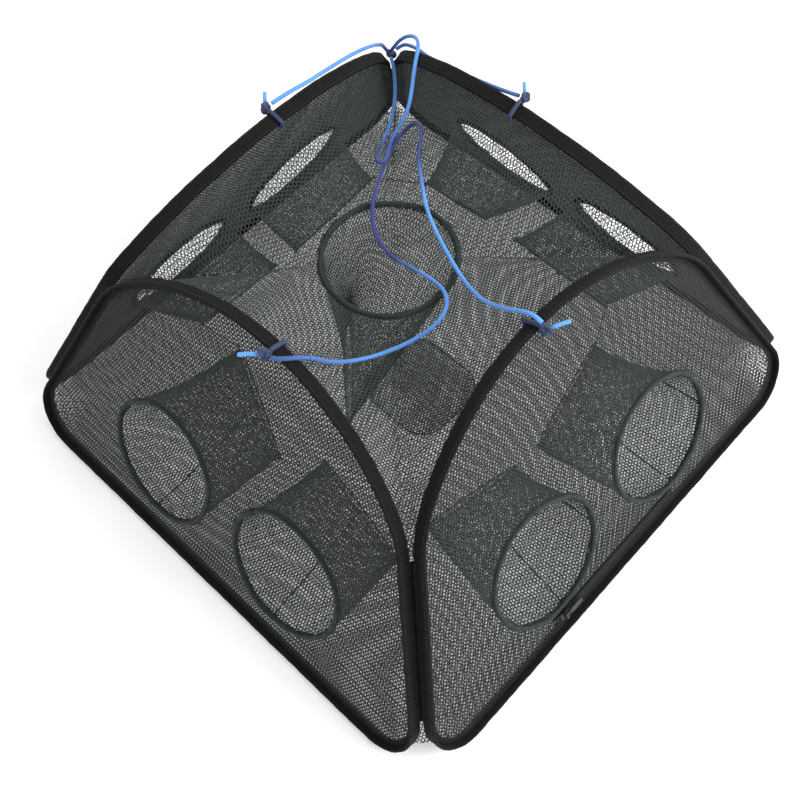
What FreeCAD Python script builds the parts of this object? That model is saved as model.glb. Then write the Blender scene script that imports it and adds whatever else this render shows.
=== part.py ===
import FreeCAD, Part
import math
import os
import Sketcher

"""Folding crab trap: four spring-steel hoops in fabric sleeves, joined at their corners,
with netting panels, eight side entry funnels, a top entry funnel, a zipped side opening
and two lift cords. Millimetres, +Z up, origin at the bottom centre."""

Vec = FreeCAD.Vector
Rot = FreeCAD.Rotation
Place = FreeCAD.Placement

# Driving dimensions, in millimetres and degrees.
SIZES = {
    "half_base": 300.0,
    "lean_angle": 25.0,
    "corner_radius": 40.0,
    "shoulder_height": 226.0,
    "shoulder_radius": 115.0,
    "crown_spread": 41.48,
    "binding_width": 14.0,
    "binding_gauge": 3.6,
    "sleeve_cavity_width": 12.6,
    "sleeve_cavity_gauge": 2.4,
    "seam_slot": 1.6,
    "seam_clearance": 1.0,
    "strip_width": 11.0,
    "strip_gauge": 0.9,
    "strip_end_gap": 1.0,
    "ferrule_length": 30.0,
    "ferrule_width": 12.2,
    "ferrule_gauge": 2.1,
    "net_gauge": 1.0,
    "soft_clearance": 0.3,
    "entry_spacing": 174.0,
    "entry_height": 95.0,
    "entry_radius": 67.0,
    "ring_wire": 4.0,
    "funnel_gauge": 0.8,
    "funnel_depth": 76.0,
    "slit_half_width": 58.0,
    "slit_half_gap": 4.0,
    "top_ring_height": 235.0,
    "top_ring_radius": 64.0,
    "top_ring_east": -10.0,
    "top_ring_north": -3.0,
    "top_funnel_depth": 118.0,
    "top_funnel_drift": 68.0,
    "bottom_net_corner": 58.0,
    "pocket_length": 108.0,
    "pocket_width": 100.0,
    "pocket_corner": 30.0,
    "pocket_east": 9.0,
    "pocket_north": 8.0,
    "seam_tape_width": 10.0,
    "seam_tape_gauge": 0.8,
    "seam_tape_setback": 3.3,
    "zip_length": 188.0,
    "zip_offset": -12.5,
    "zip_height": 18.0,
    "zip_tape_width": 5.5,
    "zip_tape_gauge": 1.0,
    "zip_teeth_gap": 1.8,
    "zip_tooth_pitch": 3.0,
    "zip_tooth_size": 1.6,
    "zip_slider_length": 11.0,
    "zip_slider_width": 8.6,
    "zip_slider_plate": 1.2,
    "zip_slider_lug": 1.8,
    "zip_pin_lift": 3.12,
    "zip_pull_length": 24.0,
    "zip_pull_width": 6.0,
    "zip_pull_gauge": 1.4,
    "zip_pull_eye_wall": 0.98,
    "cord_diameter": 4.0,
    "cord_eye": 6.4,
    "knot_radius": 6.5,
    "corner_knot_rise": 20.8,
    "corner_knot_reach": 3.9,
    "thread_diameter": 1.2,
    "thread_knot_radius": 2.2,
}

# How the threads pull each funnel's slit: along the panel, up its slope, and its tilt in degrees.
FUNNEL_PULL = {
    "front_a": (40.0, 72.0, -48.0), "front_b": (12.0, 50.0, -20.0),
    "right_a": (0.0, 50.0, -16.0), "right_b": (-32.0, 52.0, 23.0),
    "back_a": (18.0, 56.0, 18.0), "back_b": (-6.0, 48.0, -24.0),
    "left_a": (24.0, 54.0, -22.0), "left_b": (-10.0, 58.0, 16.0),
}

# Where the lift cords are tied along each hoop's crown.
KNOT_OFFSETS = {"front": 20.0, "right": -8.0, "back": 0.0, "left": -9.0}

# Routes of the lifting cord, chosen by hand, in the trap's frame.
NEAR_ROUTE = [
    (169, -8, 315), (161, -8, 318), (151, -9, 314), (140, -7, 303), (125, -6, 290), (100, 1, 268),
    (72, 14, 249), (46, 26, 241), (22, 37, 240), (-3, 49, 240), (-24, 62, 241), (-42, 77, 245), (-58, 90, 247),
    (-69, 103, 251), (-76, 115, 255), (-86, 123, 255), (-97, 122, 248), (-102, 111, 239),
    (-99, 94, 234), (-89, 74, 235), (-76, 51, 239), (-60, 26, 240), (-36, 5, 240), (-8, -4, 240),
    (22, 1, 240), (50, 3, 241), (71, -10, 249), (79, -31, 251), (73, -52, 243), (61, -76, 237),
    (55, -105, 251), (51, -134, 279), (48, -147, 300), (42, -159, 309), (33, -170, 310),
    (27, -173, 309),
]
SIDE_ROUTE = [
    (-171, 16, 309), (-168, 33, 311), (-166, 55, 308), (-168, 85, 302), (-174, 115, 291),
    (-182, 143, 276), (-190, 166, 260), (-197, 181, 246), (-200, 188, 239), (-197, 191, 231),
]
FAR_ROUTE = [
    (-193, 195, 232), (-188, 199, 243), (-176, 202, 256), (-161, 199, 265), (-148, 189, 270),
    (-138, 175, 271), (-128, 160, 268), (-118, 146, 261), (-110, 132, 252), (-107, 119, 246),
    (-105, 106, 242), (-100, 94, 241), (-94, 86, 243), (-89, 78, 243), (-89, 71, 242),
    (-95, 69, 241), (-101, 76, 240), (-108, 89, 236), (-115, 104, 234), (-124, 120, 233),
    (-136, 137, 231), (-150, 154, 229), (-165, 169, 227), (-178, 181, 229), (-188, 188, 228),
]
BACK_ROUTE = [
    (-192, 200, 229), (-189, 206, 233), (-181, 208, 236), (-163, 203, 245), (-138, 193, 256),
    (-105, 183, 272), (-68, 177, 286), (-34, 174, 297), (-16, 173, 303), (-7, 173, 306),
]
CORD_ROUTES = (("lift_cord_near", NEAR_ROUTE), ("lift_cord_side", SIDE_ROUTE),
               ("lift_cord_far", FAR_ROUTE), ("lift_cord_back", BACK_ROUTE))

SIDES = (("front", 0.0), ("right", 90.0), ("back", 180.0), ("left", 270.0))
CORNERS = (("front_right", -45.0), ("right_back", 45.0), ("left_back", 135.0), ("front_left", 225.0))

doc = FreeCAD.newDocument("folding_crab_trap")


def make_sheet():
    """Spreadsheet with one named cell for every driving dimension."""
    sheet = doc.addObject("Spreadsheet::Sheet", "sizes")
    for row, (name, value) in enumerate(SIZES.items(), start=1):
        sheet.set("A%d" % row, name)
        sheet.set("B%d" % row, repr(value))
        sheet.setAlias("B%d" % row, name)
    doc.recompute()
    return sheet


sheet = make_sheet()


def size(name):
    """Value of a driving dimension, read from its cell."""
    return float(sheet.get(name))


# Values that follow from the driving dimensions.
LEAN = math.radians(size("lean_angle"))
SEAM_TILT = math.atan(math.sin(LEAN))
DIHEDRAL = math.pi - math.acos(math.sin(LEAN) ** 2)
SEAM_INSET = (size("binding_width") / 2 / math.tan(DIHEDRAL / 2)
              + size("binding_gauge") / 2 + size("seam_clearance"))
BASE_RISE = size("binding_width") / 2 * math.sin(LEAN)
HALF_BAND = size("binding_gauge") / 2
NET_INSET = size("binding_gauge") / 2 + size("soft_clearance")


def panel_frame(turn):
    """Placement of a side panel: x along it, y up its slope, z out of the trap."""
    upright = Place(Vec(0, -size("half_base"), BASE_RISE), Rot(Vec(1, 0, 0), 90 - size("lean_angle")))
    return Place(Vec(), Rot(Vec(0, 0, 1), turn)).multiply(upright)


class Outline:
    """D-shaped hoop line in panel coordinates, at a distance inside the hoop's centre line."""

    def __init__(self, inside):
        side = Vec(-math.sin(SEAM_TILT), math.cos(SEAM_TILT), 0)
        inward = Vec(-math.cos(SEAM_TILT), -math.sin(SEAM_TILT), 0)
        start = Vec(size("half_base"), 0, 0) + inward * SEAM_INSET
        self.base = HALF_BAND + inside
        centre_corner = size("corner_radius")
        self.corner = centre_corner - inside
        reach = (HALF_BAND + centre_corner - start.y - inward.y * centre_corner) / side.y
        self.corner_centre = start + side * reach + inward * centre_corner
        seam_end = start + side * ((size("shoulder_height") - start.y) / side.y)
        centre_shoulder = size("shoulder_radius")
        self.shoulder = centre_shoulder - inside
        self.shoulder_centre = seam_end + inward * centre_shoulder
        self.crown_start = math.radians(90 - size("crown_spread"))
        between = self.shoulder_centre.x / math.cos(self.crown_start)
        self.crown = centre_shoulder + between - inside
        self.crown_centre = Vec(0, self.shoulder_centre.y - between * math.sin(self.crown_start), 0)

    def points(self):
        """Right-hand joints of the outline: base end, seam start, seam end and crown start."""
        out = Vec(math.cos(SEAM_TILT), math.sin(SEAM_TILT), 0)
        up_out = Vec(math.cos(self.crown_start), math.sin(self.crown_start), 0)
        base_end = Vec(self.corner_centre.x, self.base, 0)
        seam_start = self.corner_centre + out * self.corner
        seam_end = self.shoulder_centre + out * self.shoulder
        return base_end, seam_start, seam_end, self.crown_centre + up_out * self.crown

    def on_crown(self, angle):
        """Point of the crown arc, with the angle counted from the top towards the right."""
        return self.crown_centre + Vec(math.sin(angle), math.cos(angle), 0) * self.crown


def mirrored(point):
    return Vec(-point.x, point.y, point.z)


def named(sketch, constraint, name, expression):
    """Adds a dimension to a sketch and binds it to the sheet."""
    index = sketch.addConstraint(constraint)
    sketch.renameConstraint(index, name)
    sketch.setExpression("Constraints." + name, expression)


def draw_outline(sketch, inside, tag, inside_rule):
    """Draws the hoop outline in a sketch, fully dimensioned from the sheet."""
    line = Outline(inside)
    base_end, seam_start, seam_end, _ = line.points()
    corner_left = mirrored(line.corner_centre)
    shoulder_left = mirrored(line.shoulder_centre)
    axis = Vec(0, 0, 1)
    first = sketch.GeometryCount
    tilt = SEAM_TILT
    turn = line.crown_start
    half_turn = math.pi
    edges = [
        Part.LineSegment(mirrored(base_end), base_end),
        Part.ArcOfCircle(Part.Circle(line.corner_centre, axis, line.corner), -half_turn / 2, tilt),
        Part.LineSegment(seam_start, seam_end),
        Part.ArcOfCircle(Part.Circle(line.shoulder_centre, axis, line.shoulder), tilt, turn),
        Part.ArcOfCircle(Part.Circle(line.crown_centre, axis, line.crown), turn, half_turn - turn),
        Part.ArcOfCircle(Part.Circle(shoulder_left, axis, line.shoulder), half_turn - turn, half_turn - tilt),
        Part.LineSegment(mirrored(seam_end), mirrored(seam_start)),
        Part.ArcOfCircle(Part.Circle(corner_left, axis, line.corner), half_turn - tilt, 1.5 * half_turn),
    ]
    sketch.addGeometry(edges, False)
    count = len(edges)
    base, right, seam_r, shoulder_r, crown, shoulder_l, seam_l, left = range(first, first + count)
    for i in range(count):
        sketch.addConstraint(Sketcher.Constraint("Tangent", first + i, 2, first + (i + 1) % count, 1))
    sketch.addConstraint(Sketcher.Constraint("Horizontal", base))
    sketch.addConstraint(Sketcher.Constraint("PointOnObject", crown, 3, -2))
    sketch.addConstraint(Sketcher.Constraint("Equal", right, left))
    sketch.addConstraint(Sketcher.Constraint("Equal", seam_r, seam_l))
    sketch.addConstraint(Sketcher.Constraint("Equal", shoulder_r, shoulder_l))
    named(sketch, Sketcher.Constraint("DistanceY", -1, 1, base, 1, line.base), tag + "base",
          "sizes.binding_gauge / 2 + " + inside_rule)
    named(sketch, Sketcher.Constraint("Radius", right, line.corner), tag + "corner",
          "sizes.corner_radius - (" + inside_rule + ")")
    named(sketch, Sketcher.Constraint("Radius", shoulder_r, line.shoulder), tag + "shoulder",
          "sizes.shoulder_radius - (" + inside_rule + ")")
    sketch.addConstraint(Sketcher.Constraint("Radius", crown, line.crown))
    sketch.addConstraint(Sketcher.Constraint("DistanceY", -1, 1, crown, 3, line.crown_centre.y))
    sketch.addConstraint(Sketcher.Constraint("Angle", seam_r, half_turn / 2 + tilt))


def new_body(label, placement):
    body = doc.addObject("PartDesign::Body", label)
    body.Label = label
    body.Placement = placement
    return body


def new_sketch(body, name):
    sketch = body.newObject("Sketcher::SketchObject", name)
    plane = [f for f in body.Origin.OriginFeatures if f.Role == "XY_Plane"][0]
    sketch.AttachmentSupport = [(plane, "")]
    sketch.MapMode = "FlatFace"
    return sketch


def feature(body, kind, name, sketch, length_rule):
    """Symmetric pad or pocket of a sketch with its length bound to the sheet."""
    item = body.newObject("PartDesign::" + kind, name)
    item.Profile = sketch
    item.Midplane = True
    item.setExpression("Length", length_rule)
    body.Tip = item
    return item


def ring_sketch(body, name, outer, outer_rule, inner, inner_rule):
    sketch = new_sketch(body, name)
    draw_outline(sketch, outer, "outer_", outer_rule)
    draw_outline(sketch, inner, "inner_", inner_rule)
    return sketch


def rectangle(sketch, x_low, x_high, y_low, y_high):
    corners = [Vec(x_low, y_low, 0), Vec(x_high, y_low, 0), Vec(x_high, y_high, 0), Vec(x_low, y_high, 0)]
    first = sketch.GeometryCount
    for i in range(4):
        sketch.addGeometry(Part.LineSegment(corners[i], corners[(i + 1) % 4]), False)
    for i in range(4):
        sketch.addConstraint(Sketcher.Constraint("Coincident", first + i, 2, first + (i + 1) % 4, 1))
    for i, kind in enumerate(("Horizontal", "Vertical", "Horizontal", "Vertical")):
        sketch.addConstraint(Sketcher.Constraint(kind, first + i))
    return first


def make_hoop_strip(side, place):
    """Spring-steel strip on edge, bent into the hoop, with its two ends at the middle of the base."""
    body = new_body("hoop_strip_" + side, place)
    half = size("strip_gauge") / 2
    band = ring_sketch(body, "band", -half, "-sizes.strip_gauge / 2", half, "sizes.strip_gauge / 2")
    feature(body, "Pad", "strip", band, "sizes.strip_width")
    gap = new_sketch(body, "end_gap")
    half_gap = size("strip_end_gap") / 2
    rectangle(gap, -half_gap, half_gap, 0, size("binding_gauge"))
    doc.recompute()
    feature(body, "Pocket", "ends", gap, "2 * sizes.strip_width")
    return body


def make_ferrule(side, place):
    """Crimped sleeve that holds the two ends of the strip."""
    label = "hoop_ferrule_" + side
    shell = doc.addObject("Part::Box", label + "_shell")
    shell.setExpression("Length", "sizes.ferrule_length")
    shell.setExpression("Width", "sizes.ferrule_gauge")
    shell.setExpression("Height", "sizes.ferrule_width")
    shell.Placement.Base = Vec(-size("ferrule_length") / 2, HALF_BAND - size("ferrule_gauge") / 2,
                               -size("ferrule_width") / 2)
    slot_gauge = size("strip_gauge") + 0.1
    slot_width = size("strip_width") + 0.1
    slot = doc.addObject("Part::Box", label + "_slot")
    slot.setExpression("Length", "sizes.ferrule_length + 2")
    slot.setExpression("Width", "sizes.strip_gauge + 0.1")
    slot.setExpression("Height", "sizes.strip_width + 0.1")
    slot.Placement.Base = Vec(-size("ferrule_length") / 2 - 1, HALF_BAND - slot_gauge / 2, -slot_width / 2)
    return boolean("Part::Cut", label, shell, slot, place)


def boolean(kind, label, base, tool, place):
    item = doc.addObject(kind, label)
    item.Base = base
    item.Tool = tool
    item.Label = label
    item.Placement = place
    return item


def make_binding(side, place):
    """Fabric sleeve round the strip, open along its inner edge where the net is sewn in."""
    body = new_body("binding_" + side, place)
    half = HALF_BAND
    cavity = size("sleeve_cavity_gauge") / 2
    outer = ring_sketch(body, "sleeve_line", -half, "-sizes.binding_gauge / 2",
                        half, "sizes.binding_gauge / 2")
    feature(body, "Pad", "sleeve", outer, "sizes.binding_width")
    doc.recompute()
    inner = ring_sketch(body, "cavity_line", -cavity, "-sizes.sleeve_cavity_gauge / 2",
                        cavity, "sizes.sleeve_cavity_gauge / 2")
    feature(body, "Pocket", "cavity", inner, "sizes.sleeve_cavity_width")
    doc.recompute()
    slot = ring_sketch(body, "slot_line", 0.0, "0", half + 0.5, "sizes.binding_gauge / 2 + 0.5")
    feature(body, "Pocket", "seam_slot", slot, "sizes.seam_slot")
    return body


def make_side_net(side, place, zipped):
    """Netting panel inside a hoop, with a hole at each entry ring."""
    body = new_body("side_net_" + side, place)
    sketch = new_sketch(body, "panel")
    draw_outline(sketch, NET_INSET, "edge_", "sizes.binding_gauge / 2 + sizes.soft_clearance")
    hole = size("entry_radius") + size("ring_wire") / 2 + size("soft_clearance")
    for sign, tag in ((-1, "a_"), (1, "b_")):
        centre = Vec(sign * size("entry_spacing") / 2, size("entry_height"), 0)
        index = sketch.addGeometry(Part.Circle(centre, Vec(0, 0, 1), hole), False)
        named(sketch, Sketcher.Constraint("Radius", index, hole), tag + "hole",
              "sizes.entry_radius + sizes.ring_wire / 2 + sizes.soft_clearance")
        named(sketch, Sketcher.Constraint("DistanceY", -1, 1, index, 3, centre.y), tag + "up",
              "sizes.entry_height")
        ends = (-1, 1, index, 3) if sign > 0 else (index, 3, -1, 1)
        named(sketch, Sketcher.Constraint("DistanceX", *ends, abs(centre.x)), tag + "along",
              "sizes.entry_spacing / 2")
    feature(body, "Pad", "net", sketch, "sizes.net_gauge")
    doc.recompute()
    eye = new_sketch(body, "cord_eye")
    crown = Outline(HALF_BAND).on_crown(0).y
    half_eye = size("cord_eye") / 2
    middle = KNOT_OFFSETS[side]
    rectangle(eye, middle - half_eye, middle + half_eye, crown - 3 * half_eye, crown + half_eye)
    feature(body, "Pocket", "eye", eye, "2 * sizes.net_gauge")
    if zipped:
        doc.recompute()
        mouth = new_sketch(body, "zip_mouth")
        clear = size("soft_clearance")
        half_tall = size("zip_tape_width") + size("zip_teeth_gap") / 2 + clear
        middle = size("zip_offset")
        reach = size("zip_length") / 2 + clear
        rectangle(mouth, middle - reach, middle + reach,
                  size("zip_height") - half_tall, size("zip_height") + half_tall)
        feature(body, "Pocket", "mouth", mouth, "2 * sizes.net_gauge")
    return body


def local(place, x, y, z):
    """Placement at a point of a panel."""
    return place.multiply(Place(Vec(x, y, z), Rot()))


def make_ring(label, place, radius_rule):
    ring = doc.addObject("Part::Torus", label)
    ring.Label = label
    ring.setExpression("Radius1", radius_rule)
    ring.setExpression("Radius2", "sizes.ring_wire / 2")
    ring.Placement = place
    return ring


def make_funnel_loft(label, inside, rules, slit_place):
    """Loft from a round mouth to a flat slit; inside is the wall taken off for the hollow."""
    mouth = doc.addObject("Part::Ellipse", label + "_mouth")
    mouth.setExpression("MajorRadius", rules["mouth"] + inside)
    mouth.setExpression("MinorRadius", rules["mouth"] + inside + " - 0.001")
    slit = doc.addObject("Part::Ellipse", label + "_slit")
    slit.setExpression("MajorRadius", "sizes.slit_half_width" + inside)
    slit.setExpression("MinorRadius", "sizes.slit_half_gap" + inside)
    slit.Placement = slit_place
    loft = doc.addObject("Part::Loft", label + "_loft")
    loft.Sections = [mouth, slit]
    loft.Solid = True
    loft.Ruled = True
    return loft


def make_funnel(label, place, mouth_rule, slit_place):
    """Net funnel: outer loft less inner loft."""
    rules = {"mouth": mouth_rule}
    outer = make_funnel_loft(label + "_outer", "", rules, slit_place)
    inner = make_funnel_loft(label + "_inner", " - sizes.funnel_gauge", rules, slit_place)
    return boolean("Part::Cut", label, outer, inner, place)


def make_entries(side, place):
    """Two entry rings of a panel and the funnels that lead in from them."""
    items = []
    clear = size("ring_wire") / 2 + size("soft_clearance")
    for sign, tag in ((-1, "a"), (1, "b")):
        x = sign * size("entry_spacing") / 2
        spot = local(place, x, size("entry_height"), 0)
        items.append(make_ring("entry_ring_%s_%s" % (side, tag), spot, "sizes.entry_radius"))
        along, rise, tilt = FUNNEL_PULL["%s_%s" % (side, tag)]
        slit = Place(Vec(along, rise, -size("funnel_depth")), Rot(Vec(0, 0, 1), tilt))
        mouth = local(place, x, size("entry_height"), -clear)
        items.append(make_funnel("entry_funnel_%s_%s" % (side, tag), mouth, "sizes.entry_radius", slit))
    return items


def make_panel(side, turn):
    place = panel_frame(turn)
    items = [make_hoop_strip(side, place), make_ferrule(side, place), make_binding(side, place),
             make_side_net(side, place, side == "right")]
    return items + make_entries(side, place)


def arch_edges(place):
    """Upper net's three arcs along one hoop, from its right end to its left end, and their ends."""
    line = Outline(HALF_BAND + size("soft_clearance") + size("net_gauge"))
    depth = -size("binding_width") / 2 - size("soft_clearance")
    span = line.crown_start
    arcs = ((line.shoulder_centre, line.shoulder, SEAM_TILT, span),
            (line.crown_centre, line.crown, span, math.pi - span),
            (mirrored(line.shoulder_centre), line.shoulder, math.pi - span, math.pi - SEAM_TILT))
    edges = []
    for centre, radius, start, end in arcs:
        spots = []
        for angle in (start, (start + end) / 2, end):
            flat = centre + Vec(math.cos(angle), math.sin(angle), 0) * radius
            spots.append(place.multVec(Vec(flat.x, flat.y, depth)))
        edges.append((Part.Arc(*spots).toShape(), spots[0], spots[2]))
    return edges


def ring_edges(turn, hole, level):
    """Three arcs of the top ring's quarter that faces one hoop."""
    centre = Vec(size("top_ring_east"), size("top_ring_north"), level)
    edges = []
    for start, end in ((-45, -68), (-68, -112), (-112, -135)):
        spots = []
        for degrees in (start, (start + end) / 2, end):
            angle = math.radians(turn + degrees)
            spots.append(centre + Vec(math.cos(angle), math.sin(angle), 0) * hole)
        edges.append((Part.Arc(*spots).toShape(), spots[0]))
    return edges


def make_top_net():
    """Upper netting: four curved lobes from the hoops to the top ring, and a gusset at each corner."""
    hole = size("top_ring_radius") + size("ring_wire") / 2 + size("soft_clearance")
    level = size("top_ring_height") - size("net_gauge") / 2
    rise = Vec(0, 0, size("net_gauge"))
    skins = []
    walls = []
    ends = []
    for side, turn in SIDES:
        arch = arch_edges(panel_frame(turn))
        ring = ring_edges(turn, hole, level)
        for (outer, _, _), (inner, _) in zip(arch, ring):
            skins.append(Part.makeRuledSurface(outer, inner))
            walls += [outer.extrude(rise), inner.extrude(rise)]
        ends.append((arch[0][1], arch[2][2], ring[0][1]))
    for i in range(4):
        right_end, _, ring_point = ends[i]
        next_end = ends[(i + 1) % 4][1]
        skins.append(Part.Face(Part.makePolygon([right_end, next_end, ring_point, right_end])))
        walls.append(Part.makeLine(right_end, next_end).extrude(rise))
    raised = [skin.translated(rise) for skin in skins]
    sewn = Part.Compound(skins + raised + walls)
    sewn.sewShape(1e-4)
    solid = Part.Solid(sewn.Shells[0])
    if solid.Volume < 0:
        solid.reverse()
    for side, turn in SIDES:
        solid = solid.cut(knot_room(side, panel_frame(turn)))
    item = doc.addObject("Part::Feature", "top_net")
    item.Label = "top_net"
    item.Shape = solid.Solids[0]
    return item


def make_top_entry():
    level = size("top_ring_height")
    east = size("top_ring_east")
    north = size("top_ring_north")
    ring = make_ring("top_ring", Place(Vec(east, north, level), Rot()), "sizes.top_ring_radius")
    clear = size("ring_wire") / 2 + size("soft_clearance")
    slit = Place(Vec(0, -size("top_funnel_drift"), -size("top_funnel_depth")), Rot(Vec(0, 0, 1), -45))
    funnel = make_funnel("top_funnel", Place(Vec(east, north, level - clear), Rot()),
                         "sizes.top_ring_radius", slit)
    return [ring, funnel]


def rounded_plate(label, place, half_x, half_y, radius, x_rule, y_rule, radius_rule, gauge_rule):
    """Flat plate with rounded corners, dimensioned from the sheet."""
    body = new_body(label, place)
    sketch = new_sketch(body, "outline")
    axis = Vec(0, 0, 1)
    x, y, r = half_x, half_y, radius
    quarter = math.pi / 2
    edges = [
        Part.LineSegment(Vec(-x + r, -y, 0), Vec(x - r, -y, 0)),
        Part.ArcOfCircle(Part.Circle(Vec(x - r, -y + r, 0), axis, r), -quarter, 0),
        Part.LineSegment(Vec(x, -y + r, 0), Vec(x, y - r, 0)),
        Part.ArcOfCircle(Part.Circle(Vec(x - r, y - r, 0), axis, r), 0, quarter),
        Part.LineSegment(Vec(x - r, y, 0), Vec(-x + r, y, 0)),
        Part.ArcOfCircle(Part.Circle(Vec(-x + r, y - r, 0), axis, r), quarter, 2 * quarter),
        Part.LineSegment(Vec(-x, y - r, 0), Vec(-x, -y + r, 0)),
        Part.ArcOfCircle(Part.Circle(Vec(-x + r, -y + r, 0), axis, r), 2 * quarter, 3 * quarter),
    ]
    sketch.addGeometry(edges, False)
    for i in range(8):
        sketch.addConstraint(Sketcher.Constraint("Tangent", i, 2, (i + 1) % 8, 1))
    for i, kind in ((0, "Horizontal"), (2, "Vertical"), (4, "Horizontal"), (6, "Vertical")):
        sketch.addConstraint(Sketcher.Constraint(kind, i))
    for i in (3, 5, 7):
        sketch.addConstraint(Sketcher.Constraint("Equal", 1, i))
    named(sketch, Sketcher.Constraint("Radius", 1, r), "corner", radius_rule)
    named(sketch, Sketcher.Constraint("DistanceX", -1, 1, 2, 1, x), "right", x_rule)
    named(sketch, Sketcher.Constraint("DistanceX", 6, 1, -1, 1, x), "left", x_rule)
    named(sketch, Sketcher.Constraint("DistanceY", -1, 1, 4, 1, y), "far", y_rule)
    named(sketch, Sketcher.Constraint("DistanceY", 0, 1, -1, 1, y), "near", y_rule)
    feature(body, "Pad", "plate", sketch, gauge_rule)
    return body


def make_bottom():
    """Bottom netting between the lower bands, and the bait pocket sewn on it."""
    gauge = size("net_gauge")
    clear = size("soft_clearance")
    base_z = clear + gauge / 2
    inner = size("half_base") - size("binding_width") / 2 * math.cos(LEAN)
    half = inner - (clear + gauge) * math.tan(LEAN) - clear
    item = rounded_plate("bottom_net", Place(Vec(0, 0, base_z), Rot()), half, half,
                         size("bottom_net_corner"), "%.9f" % half, "%.9f" % half,
                         "sizes.bottom_net_corner", "sizes.net_gauge")
    pocket_z = base_z + gauge + clear
    pocket_place = Place(Vec(size("pocket_east"), size("pocket_north"), pocket_z), Rot())
    pocket = rounded_plate("bait_pocket", pocket_place,
                           size("pocket_length") / 2, size("pocket_width") / 2, size("pocket_corner"),
                           "sizes.pocket_length / 2", "sizes.pocket_width / 2",
                           "sizes.pocket_corner", "sizes.net_gauge")
    return [item, pocket]


def box(label, place, length_rule, width_rule, height_rule, corner):
    """Box bound to the sheet; corner is its low corner in the given frame."""
    item = doc.addObject("Part::Box", label)
    item.Label = label
    item.setExpression("Length", length_rule)
    item.setExpression("Width", width_rule)
    item.setExpression("Height", height_rule)
    item.Placement = place.multiply(Place(corner, Rot()))
    return item


def seam_frame(turn):
    """Placement on a corner seam: y along the seam, z out along the corner, x across it."""
    inner_half = size("half_base") - size("binding_width") / 2 / math.cos(LEAN)
    base = Vec(inner_half * math.sqrt(2), 0, BASE_RISE)
    lean = Vec(-math.tan(LEAN) * math.sqrt(2), 0, 1).normalize()
    across = Vec(0, 1, 0)
    out = across.cross(lean)
    frame = FreeCAD.Matrix(across.x, lean.x, out.x, base.x, across.y, lean.y, out.y, base.y,
                           across.z, lean.z, out.z, base.z, 0, 0, 0, 1)
    return Place(Vec(), Rot(Vec(0, 0, 1), turn)).multiply(Place(frame))


def make_seam_tapes():
    """Fabric tape sewn inside each corner, joining two neighbouring sleeves."""
    line = Outline(0)
    start, end = line.points()[1:3]
    rise = 1 / math.cos(SEAM_TILT)
    low = start.y * rise
    length = (end.y - start.y) * rise - size("seam_tape_width") / 2
    items = []
    for corner, turn in CORNERS:
        place = seam_frame(turn)
        tape = box("seam_tape_" + corner, place, "sizes.seam_tape_width", "%.9f" % length,
                   "sizes.seam_tape_gauge",
                   Vec(-size("seam_tape_width") / 2, low,
                       -size("seam_tape_gauge") - size("seam_tape_setback")))
        items.append(tape)
    return items


def knot_frame(side, place):
    """Placement at a hoop's crown where a cord is tied: x along the hoop, y outwards in its plane."""
    line = Outline(0)
    angle = KNOT_OFFSETS[side] / line.crown
    turn = Rot(Vec(0, 0, 1), -math.degrees(angle))
    return place.multiply(Place(line.on_crown(angle), turn))


def knot_room(side, place):
    """Block that clears the upper net round a cord's loop."""
    wide = size("cord_diameter") + 2 * size("soft_clearance")
    tall = 2 * (HALF_BAND + size("cord_diameter") + 2 * size("soft_clearance"))
    deep = size("binding_width") + 2 * size("cord_diameter") + 4 * size("soft_clearance")
    block = Part.makeBox(wide, tall, deep, Vec(-wide / 2, -tall / 2, -deep / 2))
    block.Placement = knot_frame(side, place)
    return block


def make_hoop_knot(side, place):
    """Loop of cord round the sleeve and the knot that closes it at the sleeve's outer edge."""
    label = "lift_cord_knot_" + side
    clear = size("soft_clearance")
    wall = size("cord_diameter")
    inner_high = size("binding_gauge") + 2 * clear
    inner_deep = size("binding_width") + 2 * clear
    outer_high = inner_high + 2 * wall
    outer_deep = inner_deep + 2 * wall
    outer = doc.addObject("Part::Box", label + "_outer")
    outer.setExpression("Length", "sizes.cord_diameter")
    outer.Width = outer_high
    outer.Height = outer_deep
    outer.Placement.Base = Vec(-wall / 2, -outer_high / 2, -outer_deep / 2)
    inner = doc.addObject("Part::Box", label + "_inner")
    inner.setExpression("Length", "sizes.cord_diameter + 2")
    inner.Width = inner_high
    inner.Height = inner_deep
    inner.Placement.Base = Vec(-wall / 2 - 1, -inner_high / 2, -inner_deep / 2)
    loop = boolean("Part::Cut", label + "_loop", outer, inner, Place())
    ball = doc.addObject("Part::Sphere", label + "_ball")
    ball.setExpression("Radius", "sizes.knot_radius")
    ball.Placement.Base = knot_centre()
    return boolean("Part::Fuse", label, loop, ball, knot_frame(side, place))


def knot_centre():
    """Centre of the knot in its own frame, hanging at the sleeve's outer edge."""
    return Vec(0, 0, size("binding_width") / 2 + size("soft_clearance") + size("knot_radius"))


def make_corner_knot(turn):
    """Knot that gathers the cords, seated between two sleeves just above their seam."""
    place = panel_frame(turn)
    along = Vec(-math.sin(SEAM_TILT), math.cos(SEAM_TILT), 0)
    seam_end = Outline(0).points()[2]
    spot = place.multVec(seam_end + along * size("corner_knot_rise"))
    half_reach = (abs(spot.x) + abs(spot.y)) / 2 + size("corner_knot_reach") / math.sqrt(2)
    knot = doc.addObject("Part::Sphere", "lift_cord_knot_corner")
    knot.Label = "lift_cord_knot_corner"
    knot.setExpression("Radius", "sizes.knot_radius")
    knot.Placement.Base = Vec(math.copysign(half_reach, spot.x), math.copysign(half_reach, spot.y), spot.z)
    return knot


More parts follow.
